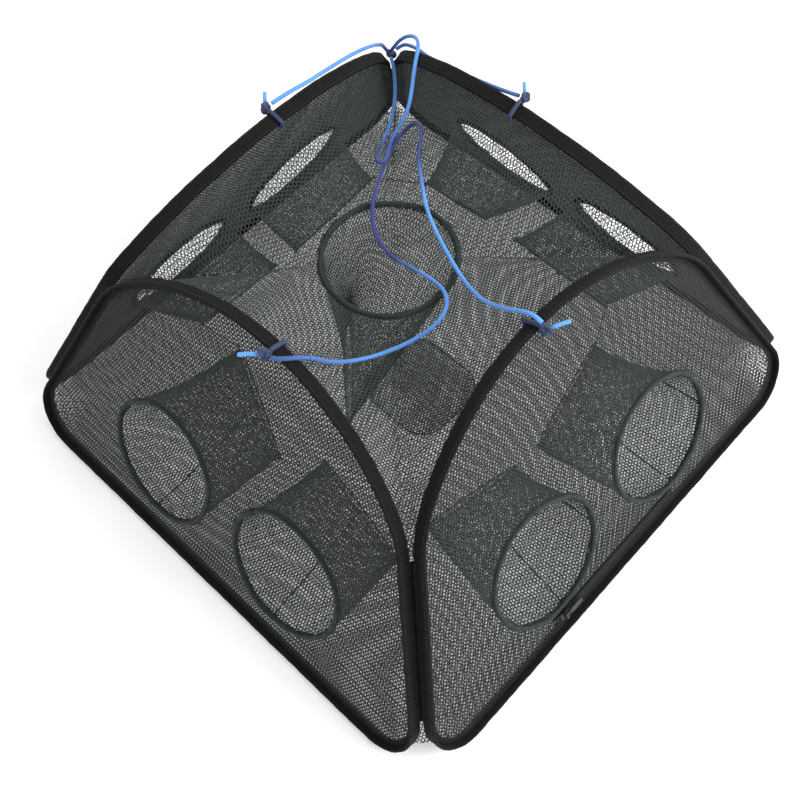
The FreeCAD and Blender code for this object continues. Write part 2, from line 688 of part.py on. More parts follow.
def cord_tube(label, points):
    """Cord of straight runs joined by tangent arcs along a chosen route."""
    edges = []
    at = points[0]
    radii = []
    for i in range(1, len(points) - 1):
        before = points[i] - points[i - 1]
        after = points[i + 1] - points[i]
        turn = before.getAngle(after)
        shorter = min(before.Length, after.Length)
        reach = 0.45 * shorter
        radii.append(reach / math.tan(turn / 2))
        start = points[i] - before.normalize() * reach
        end = points[i] + after.normalize() * reach
        bisector = (after - before).normalize()
        centre = points[i] + bisector * (radii[-1] / math.cos(turn / 2))
        middle = centre - bisector * radii[-1]
        edges.append(Part.makeLine(at, start))
        edges.append(Part.Arc(start, middle, end).toShape())
        at = end
    edges.append(Part.makeLine(at, points[-1]))
    path = Part.Wire(edges)
    radius = size("cord_diameter") / 2
    profile = Part.Wire(Part.makeCircle(radius, points[0], points[1] - points[0]))
    solid = path.makePipeShell([profile], True, False)
    item = doc.addObject("Part::Feature", label)
    item.Label = label
    item.Shape = solid
    expected = math.pi * radius ** 2 * path.Length
    print(label, "length %.1f volume ratio %.4f" % (path.Length, item.Shape.Volume / expected),
          "radii", [round(r) for r in radii])
    return item


def zip_frame(place):
    """Placement at the middle of the zip, x along it."""
    return local(place, size("zip_offset"), size("zip_height"), 0)


def make_zip_tapes(place):
    """Two woven tapes of the zip, one each side of the teeth."""
    frame = zip_frame(place)
    half = size("zip_length") / 2
    half_gap = size("zip_teeth_gap") / 2
    depth = -size("zip_tape_gauge") / 2
    rules = ("sizes.zip_length", "sizes.zip_tape_width", "sizes.zip_tape_gauge")
    upper = box("zip_tape_upper", frame, *rules, Vec(-half, half_gap, depth))
    lower = box("zip_tape_lower", frame, *rules, Vec(-half, -half_gap - size("zip_tape_width"), depth))
    return [upper, lower]


def make_zip_teeth(place):
    """Two rows of teeth, each a chain of separate moulded teeth on its tape's edge."""
    frame = zip_frame(place)
    tooth = size("zip_tooth_size")
    pitch = size("zip_tooth_pitch")
    gap = size("zip_teeth_gap") / 2
    count = int((size("zip_length") - 2 * pitch) // pitch)
    start = -count * pitch / 2
    teeth = []
    for i in range(count):
        for low in (gap, -gap - tooth):
            for face in (size("zip_tape_gauge") / 2, -size("zip_tape_gauge") / 2 - tooth / 2):
                corner = Vec(start + i * pitch, low, face)
                teeth.append(Part.makeBox(tooth, tooth, tooth / 2, corner))
    item = doc.addObject("Part::Feature", "zip_teeth")
    item.Label = "zip_teeth"
    item.Shape = Part.Compound(teeth)
    item.Placement = frame
    return item


def slider_start():
    """Distance of the closed slider from the zip's middle."""
    return -size("zip_length") / 2 + size("zip_slider_length") + size("zip_tooth_pitch")


def make_zip_slider(place):
    """Slider: outer and inner plates joined by a post that runs between the rows of teeth."""
    frame = zip_frame(place).multiply(Place(Vec(slider_start(), 0, 0), Rot()))
    length = size("zip_slider_length")
    width = size("zip_slider_width")
    plate = size("zip_slider_plate")
    clear = size("soft_clearance")
    inside = size("zip_tape_gauge") / 2 + size("zip_tooth_size") / 2 + clear
    post_wide = size("zip_teeth_gap") - 2 * clear
    lug = size("zip_slider_lug")
    outer = Part.makeBox(length, width, plate, Vec(-length / 2, -width / 2, inside))
    inner = Part.makeBox(length, width, plate, Vec(-length / 2, -width / 2, -inside - plate))
    post = Part.makeBox(length / 3, post_wide, 2 * inside, Vec(length / 6, -post_wide / 2, -inside))
    ears = []
    for side in (-1, 1):
        y = side * (pin_width() / 2 + clear + lug / 2) - lug / 2
        ears.append(Part.makeBox(lug * 2, lug, 2 * lug, Vec(-lug, y, inside + plate)))
    body = outer.multiFuse([inner, post] + ears)
    pin = Part.makeCylinder(pin_radius(), pin_width() + 2 * clear + 2 * lug,
                            Vec(0, -pin_width() / 2 - clear - lug, pin_height()), Vec(0, 1, 0))
    item = doc.addObject("Part::Feature", "zip_slider")
    item.Label = "zip_slider"
    item.Shape = body.fuse(pin).removeSplitter()
    item.Placement = frame
    return item


def pin_radius():
    return size("zip_slider_plate") / 2


def pin_width():
    return size("zip_pull_width") / 2


def pin_height():
    """Height of the pull's pin over the zip's middle plane."""
    return (size("zip_tape_gauge") / 2 + size("zip_tooth_size") / 2 + size("soft_clearance")
            + size("zip_pin_lift"))


def make_zip_pull(place):
    """Pull tab hung on the slider's pin."""
    frame = zip_frame(place).multiply(Place(Vec(slider_start(), 0, pin_height()), Rot()))
    gauge = size("zip_pull_gauge")
    bore = pin_radius() + size("soft_clearance") / 2
    eye_radius = bore + size("zip_pull_eye_wall")
    width = pin_width()
    eye = Part.makeCylinder(eye_radius, width, Vec(0, -width / 2, 0), Vec(0, 1, 0))
    stem = Part.makeBox(size("zip_pull_length") / 3, width, gauge, Vec(0, -width / 2, -gauge / 2))
    blade = Part.makeBox(size("zip_pull_length") * 2 / 3, size("zip_pull_width"), gauge,
                         Vec(size("zip_pull_length") / 3 - 1, -size("zip_pull_width") / 2, -gauge / 2))
    hole = Part.makeCylinder(bore, width + 2, Vec(0, -width / 2 - 1, 0), Vec(0, 1, 0))
    item = doc.addObject("Part::Feature", "zip_pull")
    item.Label = "zip_pull"
    item.Shape = eye.multiFuse([stem, blade]).cut(hole).removeSplitter()
    item.Placement = frame
    return item


def funnel_corner(side, tag, end):
    """Outer corner of a funnel's slit in the trap's frame."""
    place = panel_frame(dict(SIDES)[side])
    sign = 1 if tag == "b" else -1
    along, rise, tilt = FUNNEL_PULL["%s_%s" % (side, tag)]
    angle = math.radians(tilt)
    reach = size("slit_half_width") + size("soft_clearance") + size("thread_knot_radius")
    x = sign * size("entry_spacing") / 2 + along + end * reach * math.cos(angle)
    y = size("entry_height") + rise + end * reach * math.sin(angle)
    z = -size("funnel_depth") - size("ring_wire") / 2 - size("soft_clearance")
    return place.multVec(Vec(x, y, z))


def funnel_tie(start, end):
    """Thread between two funnel corners with a small knot at each end."""
    radius = size("thread_diameter") / 2
    knot = size("thread_knot_radius")
    thread = Part.makeCylinder(radius, (end - start).Length, start, end - start)
    knots = [Part.makeSphere(knot, spot) for spot in (start, end)]
    return thread.multiFuse(knots).removeSplitter()


def make_funnel_ties():
    """One thread at each corner of the trap, between neighbouring funnels' slits."""
    order = [name for name, _ in SIDES]
    ties = []
    for i, side in enumerate(order):
        after = order[(i + 1) % 4]
        ties.append(funnel_tie(funnel_corner(side, "b", 1), funnel_corner(after, "a", -1)))
    item = doc.addObject("Part::Feature", "funnel_ties")
    item.Label = "funnel_ties"
    item.Shape = Part.Compound(ties)
    return item


parts = []
for side_name, side_turn in SIDES:
    parts += make_panel(side_name, side_turn)
    parts.append(make_hoop_knot(side_name, panel_frame(side_turn)))
parts.append(make_top_net())
parts += make_top_entry()
parts += make_bottom()
parts += make_seam_tapes()
parts += make_zip_tapes(panel_frame(90))
parts += [make_zip_teeth(panel_frame(90)), make_zip_slider(panel_frame(90)), make_zip_pull(panel_frame(90))]
parts.append(make_funnel_ties())
parts.append(make_corner_knot(180))
for cord_name, route in CORD_ROUTES:
    parts.append(cord_tube(cord_name, [Vec(*point) for point in route]))


def check_and_write():
    doc.recompute()
    bad = [o.Name for o in doc.Objects if "Invalid" in o.State or "Error" in o.State]
    if bad:
        raise RuntimeError("failed objects: %s" % bad)
    os.makedirs("parts", exist_ok=True)
    for item in parts:
        shape = item.Shape
        if shape.isNull() or not shape.isValid():
            raise RuntimeError("bad shape: " + item.Label)
        print(item.Label, len(shape.Solids), round(shape.Volume, 1))
    for item in parts:
        item.Shape.exportStep("parts/%s.step" % item.Label)


check_and_write()
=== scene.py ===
import math

import bpy
import numpy as np
from mathutils import Matrix, Vector


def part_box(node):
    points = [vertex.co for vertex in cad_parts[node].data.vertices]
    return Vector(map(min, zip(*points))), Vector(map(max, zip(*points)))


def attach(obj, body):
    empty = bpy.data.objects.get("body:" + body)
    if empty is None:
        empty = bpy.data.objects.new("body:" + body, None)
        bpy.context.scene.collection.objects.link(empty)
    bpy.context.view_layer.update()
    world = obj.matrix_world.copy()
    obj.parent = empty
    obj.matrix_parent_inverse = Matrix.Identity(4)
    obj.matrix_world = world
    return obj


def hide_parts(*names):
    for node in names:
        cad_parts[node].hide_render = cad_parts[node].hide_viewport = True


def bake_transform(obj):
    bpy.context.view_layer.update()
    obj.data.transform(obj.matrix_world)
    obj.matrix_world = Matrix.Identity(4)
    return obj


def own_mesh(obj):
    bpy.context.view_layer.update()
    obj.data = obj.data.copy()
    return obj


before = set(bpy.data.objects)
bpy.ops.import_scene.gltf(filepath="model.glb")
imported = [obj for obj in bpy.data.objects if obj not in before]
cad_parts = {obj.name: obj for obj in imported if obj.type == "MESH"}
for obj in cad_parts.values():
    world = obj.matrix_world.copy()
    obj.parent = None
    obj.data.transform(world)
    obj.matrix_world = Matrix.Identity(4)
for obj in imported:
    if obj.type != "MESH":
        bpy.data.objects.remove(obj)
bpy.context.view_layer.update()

bl_info = {
    "name": "Folding Crab Trap",
    "version": (1, 0, 0),
    "blender": (4, 5, 0),
    "location": "View3D > Sidebar > Crab Trap",
    "description": "Builds the netting, sleeves, rings, funnels, zip and cords of a folding crab trap",
    "category": "Object",
}

# Sizes in millimetres, as the solid model has them: the hoops, their sleeves and the gap at a seat.
HALF_BASE = 300.0
LEAN = math.radians(25.0)
CORNER_RADIUS = 40.0
SHOULDER_HEIGHT = 226.0
SHOULDER_RADIUS = 115.0
CROWN_HEIGHT = 330.0
BAND_WIDTH = 14.0
BAND_GAUGE = 3.6
SOFT_GAP = 0.3
SEAM_CLEAR = 1.0
NET_SHEET = 1.0

# Entries and top opening: rings, and the funnels from them to their slits.
ENTRY_SPACING = 174.0
ENTRY_HEIGHT = 95.0
ENTRY_RADIUS = 67.0
RING_WIRE = 4.0
FUNNEL_DEPTH = 76.0
SLIT_HALF_WIDTH = 58.0
SLIT_HALF_GAP = 4.0
TOP_RING = (-10.0, -3.0, 235.0)
TOP_RING_RADIUS = 64.0
TOP_FUNNEL_DEPTH = 118.0
TOP_FUNNEL_DRIFT = 68.0

# Bottom net's corners, and the bait pocket: its middle, half width, half length and corner radius.
BOTTOM_CORNER = 58.0
POCKET = (9.0, 8.0, 54.0, 50.0, 30.0)

# Corner tapes, zip, cords and threads.
TAPE_WIDTH = 10.0
TAPE_GAUGE = 0.8
TAPE_SETBACK = 3.3
ZIP_LENGTH = 188.0
ZIP_OFFSET = -12.5
ZIP_HEIGHT = 18.0
ZIP_TAPE = 5.5
ZIP_GAP = 1.8
CORD = 4.0
KNOT = 6.5
THREAD = 1.2
THREAD_KNOT = 2.2

# Sleeves' least and most half thickness, and the stitches' inset, arch and slant, in millimetres.
SLEEVE_LIMITS = (1.4, 2.1)
STITCH_INSET = 1.9
STITCH_ARCH = 0.25
STITCH_SLANT = 0.35

# Wrapped rings: turns of thread, how many are fuller, by how much and over what length, and the collar.
RING_TURNS = 168
FULL_TURNS = 16
FULLNESS = 0.5
FULL_REACH = 3.5
COLLAR_GIRTH = 3.0

# Height of the bottom net over the floor and how far its corners rise, in millimetres.
BOTTOM_LEVEL = 0.95
BOTTOM_RISE = 27.0

# Netting: bars' widths as shares, how far they reach past their ends, and a crest's height in rows.
DOUBLED_BAR = 1.18
SINGLE_BAR = 0.92
BAR_SPREAD = (0.86, 1.14)
BAR_OVERLAP = 0.45
CREST = 0.26

# Bars of the other nets, as shares of the side netting's width and thickness.
TOP_BAR = 0.70
BOTTOM_BAR = 0.80
POCKET_BAR = 0.75
FUNNEL_GAUGE = 0.8

# Where soft pieces fold to, up a panel, and the share of its depth that each keeps there.
# Height up a panel of the point that soft pieces would fold to; the point is worked out but not used.
FOLD_HEIGHT = 120.0

# Width of an open cord's or strip's closed end, as a share.
TIP_SHARE = 0.04

# Yarns in a metre of each cloth.
SLEEVE_YARNS = 1150.0
HEM_YARNS = 900.0
ZIP_YARNS = 1900.0

# Angles and distances that follow from those sizes.
SEAM_TILT = math.atan(math.sin(LEAN))
DIHEDRAL = math.pi - math.acos(math.sin(LEAN) ** 2)
HALF_BAND = BAND_GAUGE / 2
SEAM_INSET = BAND_WIDTH / 2 / math.tan(DIHEDRAL / 2) + HALF_BAND + SEAM_CLEAR
BASE_RISE = BAND_WIDTH / 2 * math.sin(LEAN)
RING_CLEAR = RING_WIRE / 2 + SOFT_GAP

PANEL_TURNS = {"front": 0.0, "right": 90.0, "back": 180.0, "left": 270.0}
SIDES = tuple(PANEL_TURNS)
UPWARD, OUTWARD = (0, 1, 0), (0, 0, 1)

# The entries: the panel that each is in, and the middle of its ring there.
ENTRIES = {
    side + "_" + tag: (side, (way * ENTRY_SPACING / 2, ENTRY_HEIGHT))
    for side in SIDES for way, tag in ((-1, "a"), (1, "b"))
}

# How the ties pull each funnel's slit: along the panel, up its slope, and its tilt in degrees.
FUNNEL_PULL = {
    "front_a": (40.0, 72.0, -48.0), "front_b": (12.0, 50.0, -20.0),
    "right_a": (0.0, 50.0, -16.0), "right_b": (-32.0, 52.0, 23.0),
    "back_a": (18.0, 56.0, 18.0), "back_b": (-6.0, 48.0, -24.0),
    "left_a": (24.0, 54.0, -22.0), "left_b": (-10.0, 58.0, 16.0),
}

# How far each crown's knot sits from the middle of its panel.
KNOT_OFFSETS = {"front": 20.0, "right": -8.0, "back": 0.0, "left": -9.0}

# Corner tapes: the turn of each corner, and the two panels that meet there.
CORNERS = {
    "front_right": (-45.0, "front", "right"),
    "right_back": (45.0, "right", "back"),
    "left_back": (135.0, "back", "left"),
    "front_left": (225.0, "left", "front"),
}

# Routes of the lifting cord, in metres, each with its length and how much painted shade turns the cord navy
# along it.
CORDS = {
    "lift_cord_near": {
        "length": 0.793, "lies": "loose", "ends": "object",
        "painted_shade": ((0.0, 0.1), (0.30, 0.15), (0.36, 0.9), (0.64, 1.0), (0.70, 0.35), (0.85, 0.3),
                 (1.0, 0.85)),
        "route": (
            (0.169, -0.008, 0.315), (0.161, -0.008, 0.318), (0.151, -0.009, 0.314), (0.140, -0.007, 0.303),
            (0.125, -0.006, 0.290), (0.100, 0.001, 0.268), (0.072, 0.014, 0.249), (0.046, 0.026, 0.241),
            (0.022, 0.037, 0.240), (-0.003, 0.049, 0.240), (-0.024, 0.062, 0.241), (-0.042, 0.077, 0.245),
            (-0.058, 0.090, 0.247), (-0.069, 0.103, 0.251), (-0.076, 0.115, 0.255), (-0.086, 0.123, 0.255),
            (-0.097, 0.122, 0.248), (-0.102, 0.111, 0.239), (-0.099, 0.094, 0.234), (-0.089, 0.074, 0.235),
            (-0.076, 0.051, 0.239), (-0.060, 0.026, 0.240), (-0.036, 0.005, 0.240), (-0.008, -0.004, 0.240),
            (0.022, 0.001, 0.240), (0.050, 0.003, 0.241), (0.071, -0.010, 0.249), (0.079, -0.031, 0.251),
            (0.073, -0.052, 0.243), (0.061, -0.076, 0.237), (0.055, -0.105, 0.251), (0.051, -0.134, 0.279),
            (0.048, -0.147, 0.300), (0.042, -0.159, 0.309), (0.033, -0.170, 0.310), (0.027, -0.173, 0.309),
        ),
    },
    "lift_cord_side": {
        "length": 0.2051, "lies": "loose", "ends": "knot",
        "painted_shade": ((0.0, 0.2), (0.8, 0.3), (1.0, 0.9)),
        "route": (
            (-0.171, 0.016, 0.309), (-0.168, 0.033, 0.311), (-0.166, 0.055, 0.308), (-0.168, 0.085, 0.302),
            (-0.174, 0.115, 0.291), (-0.182, 0.143, 0.276), (-0.190, 0.166, 0.260), (-0.197, 0.181, 0.246),
            (-0.200, 0.188, 0.239), (-0.197, 0.191, 0.231),
        ),
    },
    "lift_cord_far": {
        "length": 0.3634, "lies": "loose", "ends": "knot",
        "painted_shade": ((0.0, 0.9), (0.08, 0.4), (0.35, 0.15), (0.48, 0.8), (0.60, 0.9), (0.70, 0.3), (1.0, 0.5)),
        "route": (
            (-0.193, 0.195, 0.232), (-0.188, 0.199, 0.243), (-0.176, 0.202, 0.256), (-0.161, 0.199, 0.265),
            (-0.148, 0.189, 0.270), (-0.138, 0.175, 0.271), (-0.128, 0.160, 0.268), (-0.118, 0.146, 0.261),
            (-0.110, 0.132, 0.252), (-0.107, 0.119, 0.246), (-0.105, 0.106, 0.242), (-0.100, 0.094, 0.241),
            (-0.094, 0.086, 0.243), (-0.089, 0.078, 0.243), (-0.089, 0.071, 0.242), (-0.095, 0.069, 0.241),
            (-0.101, 0.076, 0.240), (-0.108, 0.089, 0.236), (-0.115, 0.104, 0.234), (-0.124, 0.120, 0.233),
            (-0.136, 0.137, 0.231), (-0.150, 0.154, 0.229), (-0.165, 0.169, 0.227), (-0.178, 0.181, 0.229),
            (-0.188, 0.188, 0.228),
        ),
    },
    "lift_cord_back": {
        "length": 0.2081, "lies": "loose", "ends": "knot",
        "painted_shade": ((0.0, 0.7), (0.3, 0.4), (1.0, 0.6)),
        "route": (
            (-0.192, 0.200, 0.229), (-0.189, 0.206, 0.233), (-0.181, 0.208, 0.236), (-0.163, 0.203, 0.245),
            (-0.138, 0.193, 0.256), (-0.105, 0.183, 0.272), (-0.068, 0.177, 0.286), (-0.034, 0.174, 0.297),
            (-0.016, 0.173, 0.303), (-0.007, 0.173, 0.306),
        ),
    },
}

# Unevenness of the soft pieces: how far it strays, over what length, in millimetres, and its first seed.
# The sleeves' ripple and pucker are shares of the pucker that the user sets.
WAVES = {
    "sleeve_ripple": (1.0, 23.0, 10), "sleeve_pucker": (0.5, 6.5, 20), "sleeve_sway": (0.25, 90.0, 30),
    "tape_ripple": (0.12, 19.0, 40), "panel_swell": (0.35, 140.0, 50), "hem_sway": (0.1, 31.0, 70),
    "hem_width": (0.2, 17.0, 80), "bottom_swell": (0.25, 110.0, 101), "pocket_swell": (0.3, 37.0, 121),
    "pocket_edge": (0.1, 13.0, 123), "ring_swell": (0.35, 27.0, 130), "ring_sway": (1.1, 140.0, 170),
    "funnel_ruffle": (1.0, 61.0, 190), "zip_ripple": (1.0, 27.0, 280), "seam_sway": (0.25, 33.0, 300),
    "collar_girth": (0.8, 47.0, 400), "collar_turn": (0.5, 63.0, 420),
}

# First seeds of the bars' uneven widths, the rings' fuller turns and the knots' ways.
SEEDS = {
    "side_net": 60, "top_net": 90, "bottom_net": 110, "pocket_net": 122, "ring_turns": 150,
    "funnel_net": 210, "tie_knot": 230, "cord_knot": 240, "corner_knot": 260, "slit_knot": 320,
    "mouth_knot": 350, "collar": 440,
}

# Stage, in metres and watts: each lamp's place, size and power, where the lamps aim, and the white floor.
LAMPS = {
    "lamp_window": ((1.5, 1.0, 1.5), 1.6, 24.0),
    "lamp_left": ((-1.5, 0.2, 1.6), 1.4, 7.0),
    "lamp_near": ((0.6, -1.6, 1.5), 1.4, 6.0),
    "lamp_right": ((1.2, 0.6, 1.0), 0.9, 20.0),
}
AIM = (0, 0, 0.1)
WORLD_LIGHT = 0.85
FLOOR_HALF = 6.0
FLOOR_TONE = 0.86
FLOOR_GLOW = 0.14


# ---------------------------------------------------------------- sizes and colours a user may change

class CrabTrapNetting(bpy.types.PropertyGroup):
    """Sizes of the knotless netting"""
    pitch_along: bpy.props.FloatProperty(
        name="Mesh width", description="Width of one mesh of the netting",
        default=0.0036, min=0.0025, unit="LENGTH")
    pitch_up: bpy.props.FloatProperty(
        name="Mesh height", description="Height of one row of meshes",
        default=0.0033, min=0.0025, unit="LENGTH")
    bar_width: bpy.props.FloatProperty(
        name="Bar width", description="Width of a knitted bar between meshes",
        default=0.0013, min=0.0004, unit="LENGTH")
    bar_gauge: bpy.props.FloatProperty(
        name="Bar thickness", description="Thickness of a knitted bar",
        default=0.0006, min=0.0002, unit="LENGTH")
    funnel_bar: bpy.props.FloatProperty(
        name="Funnel bar width", description="Width of a bar in the softer funnel netting",
        default=0.0008, min=0.0004, unit="LENGTH")
    slack: bpy.props.FloatProperty(
        name="Slack", description="How far the funnels' netting sags between ring and slit",
        default=0.004, min=0.0, unit="LENGTH")


class CrabTrapTrim(bpy.types.PropertyGroup):
    """Sizes of the sleeves, hems, stitches and knots"""
    pucker: bpy.props.FloatProperty(
        name="Pucker", description="How far the sewn sleeves ripple",
        default=0.0003, min=0.0, unit="LENGTH")
    stitch_length: bpy.props.FloatProperty(
        name="Stitch length", description="Length of one stitch along a sleeve",
        default=0.0030, min=0.001, unit="LENGTH")
    stitch_gap: bpy.props.FloatProperty(
        name="Stitch gap", description="Gap between two stitches",
        default=0.0014, min=0.0004, unit="LENGTH")
    stitch_width: bpy.props.FloatProperty(
        name="Stitch thread", description="Width of the sewing thread",
        default=0.0006, min=0.0002, unit="LENGTH")
    hem_width: bpy.props.FloatProperty(
        name="Hem width", description="Width of the doubled netting along each hoop",
        default=0.0055, min=0.002, unit="LENGTH")
    tail_length: bpy.props.FloatProperty(
        name="Knot tail", description="Length of the cord's short end beyond each knot",
        default=0.022, min=0.005, unit="LENGTH")


class CrabTrapColours(bpy.types.PropertyGroup):
    """Colours of the trap's materials"""
    sleeve: bpy.props.FloatVectorProperty(
        name="Sleeve", description="Colour of the woven sleeves and corner tapes",
        default=(0.0060, 0.0062, 0.0066), size=3, min=0.0, max=1.0, subtype="COLOR")
    side_net: bpy.props.FloatVectorProperty(
        name="Side netting", description="Colour of the side and bottom netting",
        default=(0.014, 0.018, 0.017), size=3, min=0.0, max=1.0, subtype="COLOR")
    top_net: bpy.props.FloatVectorProperty(
        name="Top netting", description="Colour of the top netting and the bait pocket",
        default=(0.032, 0.043, 0.039), size=3, min=0.0, max=1.0, subtype="COLOR")
    funnel_net: bpy.props.FloatVectorProperty(
        name="Funnel netting", description="Colour of the funnels and the rings' wrapping",
        default=(0.008, 0.028, 0.019), size=3, min=0.0, max=1.0, subtype="COLOR")
    cord: bpy.props.FloatVectorProperty(
        name="Cord", description="Light colour of the braided lifting cord",
        default=(0.10, 0.38, 0.95), size=3, min=0.0, max=1.0, subtype="COLOR")
    # Painted shade: the navy painted on the cord where it lies in shade and in its knots, not a colour of
    # its own.
    cord_painted_shade: bpy.props.FloatVectorProperty(
        name="Dark cord", description="Colour of the cord where it is soaked and shaded",
        default=(0.010, 0.014, 0.16), size=3, min=0.0, max=1.0, subtype="COLOR")
    metal: bpy.props.FloatVectorProperty(
        name="Zip metal", description="Colour of the painted slider and pull",
        default=(0.020, 0.021, 0.024), size=3, min=0.0, max=1.0, subtype="COLOR")
    steel: bpy.props.FloatVectorProperty(
        name="Spring steel", description="Colour of the hoops' steel strip",
        default=(0.40, 0.41, 0.43), size=3, min=0.0, max=1.0, subtype="COLOR")


# ---------------------------------------------------------------- places on the trap

def turned(points, degrees):
    """Points turned about the upright axis."""
    cos, sin = math.cos(math.radians(degrees)), math.sin(math.radians(degrees))
    return points @ np.array(((cos, sin, 0), (-sin, cos, 0), (0, 0, 1)))


def on_panel(side, points):
    """Panel points in millimetres, along, up the slope and outward, as places in metres."""
    along, rise, out = np.asarray(points, float).T
    reach = HALF_BASE - rise * math.sin(LEAN) + out * math.cos(LEAN)
    height = BASE_RISE + rise * math.cos(LEAN) + out * math.sin(LEAN)
    return turned(np.stack((along, -reach, height), 1), PANEL_TURNS[side]) / 1000


def laid_out(side, places, *ways):
    """Panel places in metres, and what a millimetre each way adds to them."""
    spots = on_panel(side, places)
    return (spots, *(on_panel(side, places + way) - spots for way in ways))


def panel_normal(side):
    """Outward direction of a side panel."""
    return turned(np.array(((0.0, -math.cos(LEAN), math.sin(LEAN)),)), PANEL_TURNS[side])[0]


def arc(centre, radius, start, end, step=3.0):
    """Points along an arc in a plane."""
    count = max(3, int(abs(end - start) * radius / step))
    angles = np.linspace(start, end, count)
    return np.stack((centre[0] + radius * np.cos(angles), centre[1] + radius * np.sin(angles)), 1)


def hoop_shape(inside):
    """Centres, radii and joints of a hoop's D shape at a distance inside its strip."""
    side = np.array((-math.sin(SEAM_TILT), math.cos(SEAM_TILT)))
    inward = np.array((-math.cos(SEAM_TILT), -math.sin(SEAM_TILT)))
    start = np.array((HALF_BASE, 0.0)) + inward * SEAM_INSET
    reach = (HALF_BAND + CORNER_RADIUS - start[1] - inward[1] * CORNER_RADIUS) / side[1]
    corner = start + side * reach + inward * CORNER_RADIUS
    seam_end = start + side * ((SHOULDER_HEIGHT - start[1]) / side[1])
    shoulder = seam_end + inward * SHOULDER_RADIUS
    drop = shoulder[1] - CROWN_HEIGHT
    crown_radius = (SHOULDER_RADIUS ** 2 - shoulder[0] ** 2 - drop ** 2) / (2 * (drop + SHOULDER_RADIUS))
    crown = np.array((0.0, CROWN_HEIGHT - crown_radius))
    turn = math.atan2(shoulder[1] - crown[1], shoulder[0])
    return {
        "corner": corner, "corner_radius": CORNER_RADIUS - inside,
        "shoulder": shoulder, "shoulder_radius": SHOULDER_RADIUS - inside,
        "crown": crown, "crown_radius": crown_radius - inside, "crown_start": turn,
    }


def seam_heights():
    """Heights in a panel's plane between which a hoop's side runs straight along its corner."""
    shape = hoop_shape(0.0)
    return (shape["corner"][1] + shape["corner_radius"] * math.sin(SEAM_TILT),
            shape["shoulder"][1] + shape["shoulder_radius"] * math.sin(SEAM_TILT))


def hoop_line(inside):
    """Closed D-shaped line of a hoop in its panel's plane, anticlockwise from the middle of its base."""
    shape = hoop_shape(inside)
    turn = shape["crown_start"]
    lower = arc(shape["corner"], shape["corner_radius"], -math.pi / 2, SEAM_TILT)
    upper = arc(shape["shoulder"], shape["shoulder_radius"], SEAM_TILT, turn)
    crown = arc(shape["crown"], shape["crown_radius"], turn, math.pi / 2)
    middle = np.array(((0.0, HALF_BAND + inside),))
    right = np.concatenate((middle, lower, upper, crown[1:]))
    left = right[1:-1][::-1] * (-1, 1)
    return np.concatenate((right, left))


def run(line):
    """Distance of each point of a line from its first."""
    return np.concatenate(((0.0,), np.cumsum(np.linalg.norm(np.diff(line, axis=0), axis=1))))


def walked(line, step):
    """Points at even distances round a closed line, and their distances."""
    line = np.concatenate((line, line[:1]))
    lengths = run(line)
    count = max(4, int(round(lengths[-1] / step)))
    at = np.linspace(0, lengths[-1], count + 1)[:-1]
    return np.stack([np.interp(at, lengths, line[:, k]) for k in range(line.shape[1])], 1), at


def outward_of(line):
    """Outward directions along a closed anticlockwise line."""
    ahead = np.roll(line, -1, 0) - np.roll(line, 1, 0)
    ahead /= np.linalg.norm(ahead, axis=1, keepdims=True)
    return np.column_stack((ahead[:, 1], -ahead[:, 0], np.zeros(len(line))))


def wander(values, scale, seed):
    """Smooth wavering between about -1 and 1, the same on every run."""
    source = np.random.default_rng(seed)
    total = np.zeros_like(values, float)
    for share in (1.0, 0.6, 0.37):
        total += share * np.sin(values / (scale * share) * 2 * math.pi + source.uniform(0, 2 * math.pi))
    return total / 1.97


def waver(name, values, number=0):
    """A soft piece's unevenness at distances along it, in millimetres."""
    reach, scale, seed = WAVES[name]
    return reach * wander(values, scale, seed + number)


def seam_place(turn):
    """Foot of a corner seam and its directions across, up and outward, in millimetres."""
    foot = np.array((((HALF_BASE - BAND_WIDTH / 2 / math.cos(LEAN)) * math.sqrt(2), 0.0, BASE_RISE),))
    up = np.array(((-math.tan(LEAN) * math.sqrt(2), 0.0, 1.0),))
    up /= np.linalg.norm(up)
    across = np.array(((0.0, 1.0, 0.0),))
    out = np.cross(across, up)
    return [turned(value, turn)[0] for value in (foot, across, up, out)]


# ---------------------------------------------------------------- meshes

def quad_mesh(name, points, quads, smooth=True):
    """Mesh of points and four-sided faces."""
    mesh = bpy.data.meshes.new(name)
    points = np.asarray(points, np.float32)
    quads = np.asarray(quads, np.int32)
    mesh.vertices.add(len(points))
    mesh.vertices.foreach_set("co", points.ravel())
    mesh.loops.add(quads.size)
    mesh.loops.foreach_set("vertex_index", quads.ravel())
    mesh.polygons.add(len(quads))
    mesh.polygons.foreach_set("loop_start", np.arange(0, quads.size, 4, dtype=np.int32))
    mesh.update(calc_edges=True)
    if mesh.validate():
        raise RuntimeError("mesh of %s has faults" % name)
    mesh.polygons.foreach_set("use_smooth", np.full(len(quads), smooth))
    return mesh


def write_lay(mesh, along, across, painted_shade_level=None):
    """Stores how far along and across its strip each point is, in metres, and how much painted shade the
    cord has there.
    """
    lay = mesh.attributes.new("lay", "FLOAT_VECTOR", "POINT")
    values = np.stack((along, across, np.zeros_like(along)), 1).astype(np.float32)
    lay.data.foreach_set("vector", values.ravel())
    if painted_shade_level is not None:
        painted_shade = mesh.attributes.new("painted_shade", "FLOAT", "POINT")
        painted_shade.data.foreach_set("value", np.asarray(painted_shade_level, np.float32))


def ring_quads(count, sides, closed):
    """Quads that join rings of points, row by row."""
    rows = np.arange(count if closed else count - 1)[:, None]
    columns = np.arange(sides)[None, :]
    after = (rows + 1) % count
    beside = (columns + 1) % sides
    return np.stack((rows * sides + columns, rows * sides + beside,
                     after * sides + beside, after * sides + columns), 2).reshape(-1, 4)


